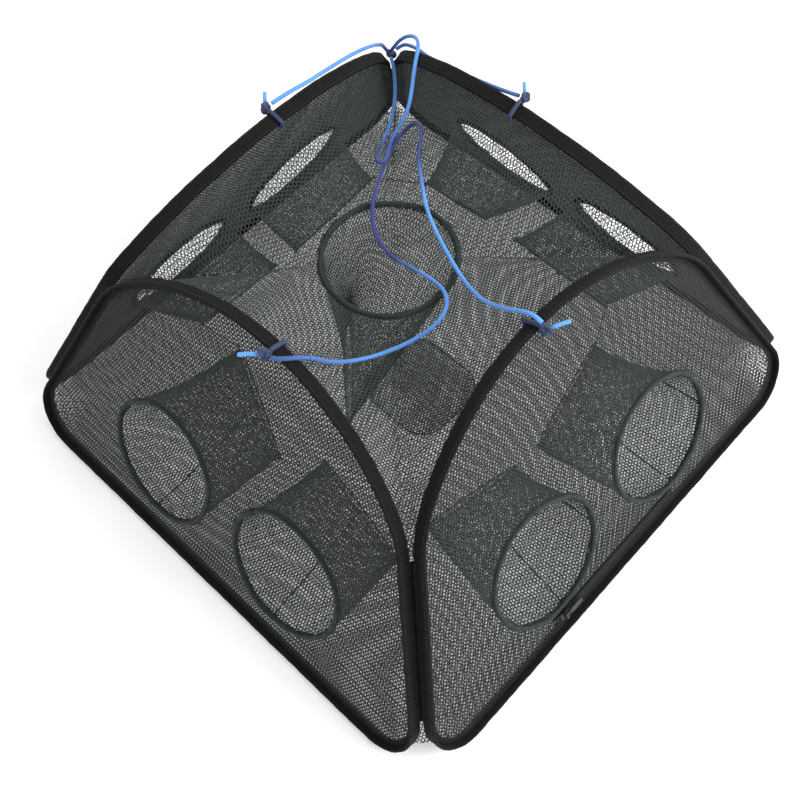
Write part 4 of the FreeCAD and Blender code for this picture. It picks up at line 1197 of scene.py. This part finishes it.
class CRAB_TRAP_OT_bottom_net(bpy.types.Operator):
    """Knit the bottom netting, one quarter for each panel, and the bait pocket sewn on it"""
    bl_idname = "crab_trap.bottom_net"
    bl_label = "Bottom netting and bait pocket"

    def execute(self, context):
        nets = context.scene.crab_trap_netting
        colours = context.scene.crab_trap_colours
        pitch_along, pitch_up = net_pitches(nets)
        material = net_material("side_netting_knit", toned(colours.side_net))
        inner = HALF_BASE - BAND_WIDTH / 2 * math.cos(LEAN)
        half = inner - (SOFT_GAP + NET_SHEET) * math.tan(LEAN) - SOFT_GAP
        within = within_line(rounded_line(half, half, BOTTOM_CORNER))

        def surface(places):
            z = BOTTOM_LEVEL + waver("bottom_swell", places[:, 0] - 0.3 * places[:, 1])
            size = np.abs(places)
            share = np.clip((size.sum(1) / math.sqrt(2) - 350) / 38, 0, 1)
            share = share ** 1.5 * np.clip(1 - np.abs(size[:, 0] - size[:, 1]) / BOTTOM_CORNER, 0, 1)
            return np.column_stack((places, z + BOTTOM_RISE * share)) / 1000

        facing = {"front": (0, -1), "right": (1, 0), "back": (0, 1), "left": (-1, 0)}
        for number, side in enumerate(SIDES):
            ahead = np.array(facing[side])

            def inside(places, ahead=ahead):
                out = places @ ahead
                beside = np.abs(places @ (-ahead[1], ahead[0]))
                return np.minimum(within(places), (out - beside) / math.sqrt(2))

            bars = trimmed(brick_net((-half, -half), (half, half), pitch_along, pitch_up), inside)
            mesh = woven_mesh("bottom_net_" + side, bars, surface, nets.bar_width * BOTTOM_BAR,
                              nets.bar_gauge, SEEDS["bottom_net"] + number, pitch_up)
            net = piece("bottom_net_" + side, mesh, material, side, "side_netting", "bottom_net")
            net_flat(bars[0])
            fold_against(net, side)
        self.pocket(nets, colours)
        return {"FINISHED"}

    def pocket(self, nets, colours):
        """Rounded net pocket with a hem, a little fuller in its middle."""
        pitch_along, pitch_up = net_pitches(nets)
        material = net_material("top_netting_knit", toned(colours.top_net))
        cloth = strand_material("pocket_edge", toned(colours.funnel_net), 900.0, 1500.0, 0.04)
        x, y, half_x, half_y, radius = POCKET
        line = rounded_line(half_x, half_y, radius, (x, y))
        within = within_line(line)

        def surface(places):
            share = np.clip(within(places) / 22.0, 0, 1)
            z = 2.1 + 2.6 * np.sin(share * math.pi / 2) + waver("pocket_swell", places[:, 1]) * share
            return np.column_stack((places, z)) / 1000

        gathered = brick_net(line.min(0), line.max(0), pitch_along * 0.97, pitch_up * 0.93)
        bars = trimmed(gathered, within)
        mesh = woven_mesh("bait_pocket_net", bars, surface, nets.bar_width * POCKET_BAR, nets.bar_gauge,
                          SEEDS["pocket_net"], pitch_up)
        net = piece("bait_pocket_net", mesh, material, "front", "top_netting", "bait_pocket")
        fold_against(net, "front")
        edge, at = walked(line, 1.2)
        path = np.column_stack((edge, 2.2 + waver("pocket_edge", at))) / 1000
        hem = piece("bait_pocket_edge", cord_mesh("bait_pocket_edge", path, 0.0008, 8, True, 0.1), cloth,
                    "front", "top_netting")
        fold_against(hem, "front")


class CRAB_TRAP_OT_entry_rings(bpy.types.Operator):
    """Wrap each wire ring in whipping thread"""
    bl_idname = "crab_trap.entry_rings"
    bl_label = "Wrapped rings"

    def execute(self, context):
        colour = context.scene.crab_trap_colours.funnel_net
        material = strand_material("ring_whipping", toned(colour, 0.5), 700.0, 500.0, 0.03)
        for number, (name, (side, middle)) in enumerate(ENTRIES.items()):
            def place(x, y, z, side=side, middle=middle):
                return on_panel(side, np.column_stack((x, y, z)) + (*middle, 0.0))
            mesh = self.wrapped("ring_" + name, place, ENTRY_RADIUS, number)
            piece("ring_" + name, mesh, material, side, "ring_wire", "entry_ring_" + name)

        def place(x, y, z):
            return (np.column_stack((x, y, z)) + TOP_RING) / 1000
        mesh = self.wrapped("ring_top", place, TOP_RING_RADIUS, len(ENTRIES))
        top = piece("ring_top", mesh, material, "front", "ring_wire", "top_ring")
        fold_against(top, "front")
        return {"FINISHED"}

    def wrapped(self, name, place, radius, number):
        """Ring whose surface follows a coil of thread, with a few fuller turns."""
        steps, sides = 5 * RING_TURNS, 10
        around = np.linspace(0, 2 * math.pi, steps, endpoint=False)
        angles = np.linspace(0, 2 * math.pi, sides, endpoint=False)
        coil = np.abs(np.sin((RING_TURNS * around[:, None] - angles[None, :]) / 2))
        swell = waver("ring_swell", around * radius, number)[:, None]
        source = np.random.default_rng(SEEDS["ring_turns"] + number)
        for spot in source.uniform(0, 2 * math.pi, FULL_TURNS):
            away = np.abs((around - spot + math.pi) % (2 * math.pi) - math.pi) * radius
            swell = swell + FULLNESS * np.exp(-(away / FULL_REACH) ** 2)[:, None]
        thick = RING_WIRE / 2 + 0.15 + 0.45 * coil ** 0.7 + swell
        reach = radius + waver("ring_sway", around * radius, number)[:, None] + thick * np.cos(angles)
        x = (reach * np.cos(around)[:, None]).ravel()
        y = (reach * np.sin(around)[:, None]).ravel()
        z = (thick * np.sin(angles)).ravel()
        mesh = quad_mesh(name, place(x, y, z), ring_quads(steps, sides, True))
        write_lay(mesh, np.repeat(around * radius / 1000, sides), np.tile(angles * 0.002, steps))
        return joined(name, [mesh, self.collar(place, radius, number)])

    def collar(self, place, radius, number):
        """Netting bunched up round a ring where the panel and the funnel are lashed to it."""
        cells, rows = int(radius * 2), 5

        def surface(places):
            turn = places[:, 0] * 2 * math.pi / cells
            at = turn * radius
            girth = COLLAR_GIRTH + waver("collar_girth", at, number)
            section = places[:, 1] * 2 * math.pi / rows + waver("collar_turn", at, number)
            reach = radius - 0.3 + waver("ring_sway", at, number) + girth * np.cos(section)
            return place(reach * np.cos(turn), reach * np.sin(turn), girth * 0.9 * np.sin(section) - 0.8)

        starts, ends, doubled = brick_net((0.0, 0.0), (cells - 1.5, rows - 1.5), 1.0, 1.0)
        whole = (starts[:, 0] > -0.01) & (starts[:, 1] > -0.01)
        net = woven_mesh("collar", (starts[whole], ends[whole], doubled[whole]), surface, 0.0010, 0.0006,
                         SEEDS["collar"] + number, 1.0)
        count = len(net.vertices)
        write_lay(net, np.arange(count) * 0.0004, np.zeros(count))
        return net


class CRAB_TRAP_OT_funnels(bpy.types.Operator):
    """Knit the funnels from the rings to their flat slits"""
    bl_idname = "crab_trap.funnels"
    bl_label = "Entry funnels"

    def execute(self, context):
        nets = context.scene.crab_trap_netting
        colour = context.scene.crab_trap_colours.funnel_net
        material = net_material("funnel_netting_knit", toned(colour))
        edge = strand_material("slit_edge", toned(colour, 0.8), 900.0, 1500.0, 0.04)
        for number, (name, (side, middle)) in enumerate(ENTRIES.items()):
            along, rise, tilt = FUNNEL_PULL[name]

            def place(local, side=side, middle=middle):
                return on_panel(side, local + (*middle, -RING_CLEAR))
            self.funnel(name, place, ENTRY_RADIUS, (along, rise, -FUNNEL_DEPTH), tilt, nets, material, edge,
                        side, "entry_funnel_" + name, number)

        def place(local):
            return (local + np.array(TOP_RING) - (0, 0, RING_CLEAR)) / 1000
        self.funnel("top", place, TOP_RING_RADIUS, (0.0, -TOP_FUNNEL_DRIFT, -TOP_FUNNEL_DEPTH), -45.0, nets,
                    material, edge, "front", "top_funnel", len(ENTRIES))
        return {"FINISHED"}

    def funnel(self, name, place, radius, slit, tilt, nets, material, edge, side, solid, number):
        """Net from a ring to a slit, whose places are counted in meshes round it and rows along it."""
        around = int(round(2 * math.pi * radius / (nets.pitch_along * 1000)))
        reach = math.hypot(slit[2], math.hypot(slit[0], slit[1]) * 0.6)
        rows = int(round(reach / (nets.pitch_up * 1000)))
        angle = math.radians(tilt)

        def surface(places):
            turn = places[:, 0] * 2 * math.pi / around
            share = np.clip(places[:, 1] / rows, 0, 1)
            mouth = np.column_stack((radius * np.cos(turn), radius * np.sin(turn), 0 * turn))
            x, y = SLIT_HALF_WIDTH * np.cos(turn), SLIT_HALF_GAP * np.sin(turn)
            end = np.column_stack((slit[0] + x * math.cos(angle) - y * math.sin(angle),
                                   slit[1] + x * math.sin(angle) + y * math.cos(angle), 0 * turn + slit[2]))
            full = np.sin(share * math.pi)[:, None]
            local = mouth + (end - mouth) * share[:, None]
            ruffle = waver("funnel_ruffle", turn * radius, number) * full[:, 0]
            spots = place(local + np.column_stack((0 * turn, 0 * turn, ruffle)))
            return spots - full * (0, 0, nets.slack)

        bars = brick_net((0.0, 0.0), (around - 1.5, rows), 1.0, 1.0)
        first = bars[0][:, 0]
        whole = (first > -0.01) & (first < around - 0.01)
        bars = trimmed([part[whole] for part in bars],
                       lambda spots: np.minimum(spots[:, 1], rows - spots[:, 1]))
        mesh = woven_mesh("funnel_" + name, bars, surface, nets.funnel_bar, nets.bar_gauge * FUNNEL_GAUGE,
                          SEEDS["funnel_net"] + number, 1.0)
        net = piece("funnel_" + name, mesh, material, side, "funnel_netting", solid)
        parts = self.seams(surface, around, rows, number)
        hem = piece("slit_edge_" + name, joined("slit_edge_" + name, parts), edge, side, "funnel_netting")
        for soft in (net, hem):
            fold_against(soft, side)

    def seams(self, surface, around, rows, number):
        """Thread round a funnel's slit, and two knotted seams along the funnel."""
        turn = np.linspace(0, around, 240, endpoint=False)
        path = surface(np.column_stack((turn, np.full(len(turn), float(rows)))))
        parts = [cord_mesh("slit_edge", path, 0.0009, 8, True, 0.1)]
        share = np.linspace(0.0, 1.0, 40)
        for k, (first, last) in enumerate(((0.75, 0.75), (0.97, 1.0))):
            seam = around * (first + (last - first) * share) + waver("seam_sway", share * 70, number + k)
            path = surface(np.column_stack((seam, share * rows)))
            turns = 2 * number + k
            parts.append(cord_mesh("seam", path, 0.0008, 7, False, 0.2))
            parts.append(knot_mesh("seam_knot", path[-1], 0.0024, 0.0010, SEEDS["slit_knot"] + turns))
            parts.append(knot_mesh("seam_knot", path[0], 0.0028, 0.0011, SEEDS["mouth_knot"] + turns))
        return parts


class CRAB_TRAP_OT_ties(bpy.types.Operator):
    """Tie neighbouring funnels together at each corner with a thin thread and small knots"""
    bl_idname = "crab_trap.ties"
    bl_label = "Funnel ties"

    def execute(self, context):
        colour = context.scene.crab_trap_colours.funnel_net
        material = strand_material("tie_thread", toned(colour, 0.7), 2200.0, 3000.0, 0.04)
        for number, side in enumerate(SIDES):
            after = SIDES[(number + 1) % 4]
            start, end = self.corner(side + "_b", 1), self.corner(after + "_a", -1)
            sag = np.array((0.0, 0.0, -0.0015))
            route = [tuple(start + (end - start) * share + sag * math.sin(share * math.pi))
                     for share in (0.0, 0.2, 0.4, 0.6, 0.8, 1.0)]
            path = cord_line(route)
            parts = [cord_mesh("tie", path, THREAD / 2000, 8, False, 0.15, 2600.0)]
            for k, spot in enumerate((start, end)):
                parts.append(knot_mesh("tie_knot", spot, THREAD_KNOT / 1000 * 0.62, THREAD / 2000,
                                       SEEDS["tie_knot"] + number + k))
            name = "funnel_tie_%s_%s" % (side, after)
            tie = piece(name, joined(name, parts), material, side, "thread", "funnel_ties")
            tuple(path[0])
            float(run(path)[-1])
            [tuple(point) for point in path]
            fold_against(tie, side)
        return {"FINISHED"}

    def corner(self, name, end):
        """Outer corner of a funnel's slit."""
        side, middle = ENTRIES[name]
        along, rise, tilt = FUNNEL_PULL[name]
        reach = end * (SLIT_HALF_WIDTH + SOFT_GAP + THREAD_KNOT)
        x = middle[0] + along + reach * math.cos(math.radians(tilt))
        y = middle[1] + rise + reach * math.sin(math.radians(tilt))
        return on_panel(side, ((x, y, -FUNNEL_DEPTH - RING_CLEAR),))[0]


def cord_line(route):
    """Points along the smooth curve that a cord's route gives."""
    curve = bpy.data.curves.new("route", "CURVE")
    curve.dimensions = "3D"
    curve.resolution_u = 28
    spline = curve.splines.new("NURBS")
    spline.points.add(len(route) - 1)
    for point, place in zip(spline.points, route):
        point.co = (*place, 1.0)
    spline.order_u = 3
    spline.use_endpoint_u = True
    holder = bpy.data.objects.new("route", curve)
    mesh = bpy.data.meshes.new_from_object(holder)
    points = np.empty(len(mesh.vertices) * 3)
    mesh.vertices.foreach_get("co", points)
    bpy.data.objects.remove(holder)
    bpy.data.curves.remove(curve)
    bpy.data.meshes.remove(mesh)
    points = points.reshape(-1, 3)
    return points[np.concatenate(((True,), np.linalg.norm(np.diff(points, axis=0), axis=1) > 1e-6))]


def knot_mesh(name, centre, reach, radius, seed, painted_shade_level=0.0):
    """Small overhand knot drawn up tight."""
    turn = np.linspace(0, 2 * math.pi, 96, endpoint=False)
    loop = np.column_stack((np.sin(turn) + 2 * np.sin(2 * turn), np.cos(turn) - 2 * np.cos(2 * turn),
                            -np.sin(3 * turn))) / 3
    loop *= reach * (1 + 0.08 * np.sin(turn + seed))[:, None]
    source = np.random.default_rng(seed)
    axis = source.normal(size=3)
    spin = np.array(Matrix.Rotation(source.uniform(0, 6.28), 3, Vector(axis)))
    return cord_mesh(name, loop @ spin.T + centre, radius, 10, True, 0.08, 700.0, np.full(96, painted_shade_level))


class CRAB_TRAP_OT_lift_cords(bpy.types.Operator):
    """Lay the braided lifting cord over the trap"""
    bl_idname = "crab_trap.lift_cords"
    bl_label = "Lifting cord"

    def execute(self, context):
        colours = context.scene.crab_trap_colours
        material = braid_material("lift_cord_braid", toned(colours.cord), toned(colours.cord_painted_shade), 0.5)
        bodies = {"lift_cord_near": None, "lift_cord_side": "left", "lift_cord_far": "back",
                  "lift_cord_back": "back"}
        for name, facts in CORDS.items():
            path = cord_line(facts["route"])
            along = run(path)
            # Painted shade along each cord, from the route's levels.
            stops = np.array(facts["painted_shade"])
            painted_shade_level = np.interp(along / along[-1], stops[:, 0], stops[:, 1])
            mesh = cord_mesh("braid_" + name, path, CORD / 2000, 16, False, 0.12, 700.0, painted_shade_level)
            cord = piece("braid_" + name, mesh, material, bodies[name], "lift_cord", name)
            if bodies[name] is None:
                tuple(facts["route"][-1])
                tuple(facts["route"][0])
                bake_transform(cord)
            else:
                fold_against(cord, bodies[name])
            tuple(facts["route"][0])
            [tuple(point) for point in path]
        return {"FINISHED"}


class CRAB_TRAP_OT_cord_knots(bpy.types.Operator):
    """Tie the cord round each sleeve, and gather it in one knot above a corner"""
    bl_idname = "crab_trap.cord_knots"
    bl_label = "Cord knots"

    # Way each short end points: along the panel, up its slope and outward.
    TAILS = {"front": (-0.78, -0.15, 0.62), "right": (0.80, 0.15, 0.58), "back": (0.6, -0.3, 0.6),
             "left": (-0.6, -0.3, 0.6)}

    def execute(self, context):
        colours = context.scene.crab_trap_colours
        trim = context.scene.crab_trap_trim
        # Painted shade: the knots mix towards a deeper navy, for the shade inside them.
        material = braid_material("cord_knot_braid", toned(colours.cord),
                                  toned(colours.cord_painted_shade, 0.3), 0.6)
        for number, side in enumerate(SIDES):
            self.tie(side, number, material, trim)
        centre = np.array(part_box("lift_cord_knot_corner")).mean(0)
        # Painted shade: the corner knot's strands are nearly fully in navy shade.
        parts = [knot_mesh("corner_knot", centre, (KNOT - CORD / 2) / size, CORD / 2150,
                           SEEDS["corner_knot"] + k, painted_shade_level)
                 for k, (size, painted_shade_level) in enumerate(((1000, 0.9), (1250, 1.0), (1100, 0.95)))]
        piece("knot_corner", joined("knot_corner", parts), material, "back", "cord_knot",
              "lift_cord_knot_corner")
        return {"FINISHED"}

    def tie(self, side, number, material, trim):
        """Loop round a sleeve at its crown, with a knot and a short end on the outer face."""
        shape = hoop_shape(0.0)
        angle = KNOT_OFFSETS[side] / shape["crown_radius"]
        outward = np.array((math.sin(angle), math.cos(angle), 0.0))
        along = np.array((math.cos(angle), -math.sin(angle), 0.0))
        spot = np.append(shape["crown"], 0.0) + outward * shape["crown_radius"]
        away = np.array((0.0, 0.0, 1.0))
        high = HALF_BAND + SOFT_GAP + CORD / 2
        deep = BAND_WIDTH / 2 + SOFT_GAP + CORD / 2
        loop, _ = walked(rounded_line(deep, high, 3.2), 0.9)
        lean = 0.5 * np.sin(loop[:, :1] / deep * 1.5)
        local = spot + loop[:, :1] * away + loop[:, 1:] * outward + lean * along
        ball = spot + away * (deep - CORD / 2 + KNOT)
        # Painted shade: the loop round the sleeve and the knots on it are nearly fully in navy shade.
        parts = [cord_mesh("loop", on_panel(side, local), CORD / 2000, 12, True, 0.1, 700.0,
                           np.full(len(local), 0.95))]
        centre = on_panel(side, ball[None])[0]
        for k, share in enumerate((1.0, 0.78)):
            parts.append(knot_mesh("knot", centre, (KNOT - CORD / 2) / 1000 * share, CORD / 2100,
                                   SEEDS["cord_knot"] + 4 * number + k, 0.95))
        way = np.array(self.TAILS[side])
        way /= np.linalg.norm(way)
        length = trim.tail_length * 1000
        share = np.linspace(0.1, 1.0, 26)
        drop = np.outer(share ** 2, (0.0, -0.18 * length, -0.05 * length))
        tail = on_panel(side, ball + np.outer(share * length, way) + drop)
        # Painted shade on the short end: deep beside the knot, none at its tip.
        painted_shade_level = np.interp(share, (0.0, 0.25, 0.45, 1.0), (0.95, 0.6, 0.05, 0.0))
        parts.append(cord_mesh("tail", tail, CORD / 2100, 12, False, 0.1, 700.0, painted_shade_level))
        name = "knot_" + side
        piece(name, joined(name, parts), material, side, "cord_knot", "lift_cord_knot_" + side)


class CRAB_TRAP_OT_zip(bpy.types.Operator):
    """Sew in the zip's tapes, and finish its teeth, slider and pull"""
    bl_idname = "crab_trap.zip"
    bl_label = "Zip"

    def execute(self, context):
        colours = context.scene.crab_trap_colours
        cloth = woven_material("zip_tape_cloth", toned(colours.sleeve, 0.8), ZIP_YARNS, 0.2, 0.05)
        plastic = hard_material("zip_tooth_plastic", toned(colours.metal, 1.2), 0.0, 0.42, 900.0)
        metal = hard_material("zip_painted_metal", toned(colours.metal), 0.35, 0.36, 500.0)
        at = np.arange(-ZIP_LENGTH / 2, ZIP_LENGTH / 2 + 0.1, 2.0)
        for number, (name, sign) in enumerate((("upper", 1), ("lower", -1))):
            ripple = waver("zip_ripple", at, number)
            rise = ZIP_HEIGHT + sign * ((ZIP_GAP + ZIP_TAPE) / 2 + 0.1 * ripple)
            centre = np.column_stack((at + ZIP_OFFSET, rise, 0.12 * ripple))
            spots, wide, deep = laid_out("right", centre, UPWARD, OUTWARD)
            mesh = strip_mesh("zip_cloth_" + name, spots, wide, deep, ZIP_TAPE / 2 - 0.05, 0.45,
                              (at - at[0]) / 1000, False, boxy=0.25)
            piece("zip_cloth_" + name, mesh, cloth, "right", "zip_tape", "zip_tape_" + name)
        paint_node("zip_teeth", plastic)
        paint_node("zip_slider", metal, 0.0003)
        paint_node("zip_pull", metal, 0.0003)
        return {"FINISHED"}


class CRAB_TRAP_OT_stage(bpy.types.Operator):
    """Set the pale floor, soft lights and camera"""
    bl_idname = "crab_trap.stage"
    bl_label = "Stage"

    def execute(self, context):
        scene = context.scene
        scene.view_settings.view_transform = "Standard"
        self.floor(scene)
        self.world(scene)
        for name, (place, size, power) in LAMPS.items():
            light = bpy.data.lights.new(name, "AREA")
            light.shape = "SQUARE"
            light.size = size
            light.energy = power
            lamp = bpy.data.objects.new(name, light)
            lamp.location = place
            lamp.rotation_euler = (Vector(AIM) - Vector(place)).to_track_quat("-Z", "Y").to_euler()
            scene.collection.objects.link(lamp)
        self.camera(scene)
        return {"FINISHED"}

    def floor(self, scene):
        """Wide plain floor that is white where it is lit and keeps the trap's shadow."""
        corners = [(x * FLOOR_HALF, y * FLOOR_HALF, 0) for x, y in ((-1, -1), (1, -1), (1, 1), (-1, 1))]
        floor = bpy.data.objects.new("floor", quad_mesh("floor", corners, ((0, 1, 2, 3),), False))
        scene.collection.objects.link(floor)
        material, tree, shader = blank_material("pale_floor", 0.9, Specular_IOR_Level=0.1,
                                                Base_Color=(FLOOR_TONE, FLOOR_TONE, FLOOR_TONE, 1.0))
        strength = maths(tree, "MULTIPLY", self.seen_directly(tree), FLOOR_GLOW)
        glow = node(tree, "ShaderNodeEmission", {"Color": (1.0, 1.0, 1.0, 1.0), "Strength": strength})
        both = node(tree, "ShaderNodeAddShader", {0: shader.outputs[0], 1: glow.outputs[0]})
        tree.links.new(both.outputs[0], tree.nodes["Material Output"].inputs["Surface"])
        floor.data.materials.append(material)

    def seen_directly(self, tree):
        """One for rays from the camera, a mirror or glass; nothing for the light on the trap."""
        seen = node(tree, "ShaderNodeLightPath").outputs
        mirrored = maths(tree, "MAXIMUM", seen["Is Glossy Ray"], seen["Is Transmission Ray"])
        return maths(tree, "MAXIMUM", seen["Is Camera Ray"], mirrored)

    def world(self, scene):
        """White surroundings that light the trap a little less than they look."""
        world = bpy.data.worlds.new("studio")
        world.use_nodes = True
        tree = world.node_tree
        back = tree.nodes["Background"].inputs
        back["Color"].default_value = (1.0, 1.0, 1.0, 1.0)
        extra = maths(tree, "MULTIPLY", self.seen_directly(tree), 1.0 - WORLD_LIGHT)
        feed(tree, back["Strength"], maths(tree, "ADD", WORLD_LIGHT, extra))
        scene.world = world

    def camera(self, scene):
        """Camera above the corner between the front and the zipped side."""
        turn, height, roll = 0.837479, 1.071382, -0.095744
        distance, aside, above = 1.184297, -0.009819, -0.015403
        level = Vector((math.cos(turn), math.sin(turn), 0.0))
        forward = Vector((-math.sin(turn), math.cos(turn), 0.0))
        ahead = forward * math.cos(height) - Vector(OUTWARD) * math.sin(height)
        upright = level.cross(ahead)
        right = level * math.cos(roll) + upright * math.sin(roll)
        up = upright * math.cos(roll) - level * math.sin(roll)
        place = -ahead * distance + right * aside + up * above
        lens = bpy.data.cameras.new("camera")
        lens.sensor_width = 36.0
        lens.lens = 47.82825
        camera = bpy.data.objects.new("camera", lens)
        camera.matrix_world = Matrix((
            (right.x, up.x, -ahead.x, place.x), (right.y, up.y, -ahead.y, place.y),
            (right.z, up.z, -ahead.z, place.z), (0, 0, 0, 1)))
        scene.collection.objects.link(camera)
        scene.camera = camera


class CRAB_TRAP_PT_parts(bpy.types.Panel):
    """Lists the trap's settings and the steps that build it"""
    bl_idname = "CRAB_TRAP_PT_parts"
    bl_label = "Crab Trap"
    bl_space_type = "VIEW_3D"
    bl_region_type = "UI"
    bl_category = "Crab Trap"

    def draw(self, context):
        layout = self.layout
        for group in SETTINGS:
            box = layout.box()
            values = getattr(context.scene, group)
            for prop in values.bl_rna.properties:
                if not prop.is_readonly and prop.identifier != "name":
                    box.prop(values, prop.identifier)
        for step in STEPS:
            layout.operator(step.bl_idname)


SETTINGS = {
    "crab_trap_netting": CrabTrapNetting,
    "crab_trap_trim": CrabTrapTrim,
    "crab_trap_colours": CrabTrapColours,
}
STEPS = (
    CRAB_TRAP_OT_stage, CRAB_TRAP_OT_lift_cords, CRAB_TRAP_OT_cord_knots, CRAB_TRAP_OT_hoops,
    CRAB_TRAP_OT_sleeves, CRAB_TRAP_OT_corner_tapes, CRAB_TRAP_OT_side_nets, CRAB_TRAP_OT_top_net,
    CRAB_TRAP_OT_bottom_net, CRAB_TRAP_OT_entry_rings, CRAB_TRAP_OT_funnels, CRAB_TRAP_OT_ties,
    CRAB_TRAP_OT_zip,
)


def register():
    for kind in (*SETTINGS.values(), *STEPS, CRAB_TRAP_PT_parts):
        bpy.utils.register_class(kind)
    for name, kind in SETTINGS.items():
        setattr(bpy.types.Scene, name, bpy.props.PointerProperty(type=kind))


def unregister():
    for name in SETTINGS:
        delattr(bpy.types.Scene, name)
    for kind in reversed((*SETTINGS.values(), *STEPS, CRAB_TRAP_PT_parts)):
        bpy.utils.unregister_class(kind)


def main():
    """Builds the trap step by step."""
    register()
    for step in STEPS:
        group, name = step.bl_idname.split(".")
        getattr(getattr(bpy.ops, group), name)()


if __name__ == "__main__":
    main()
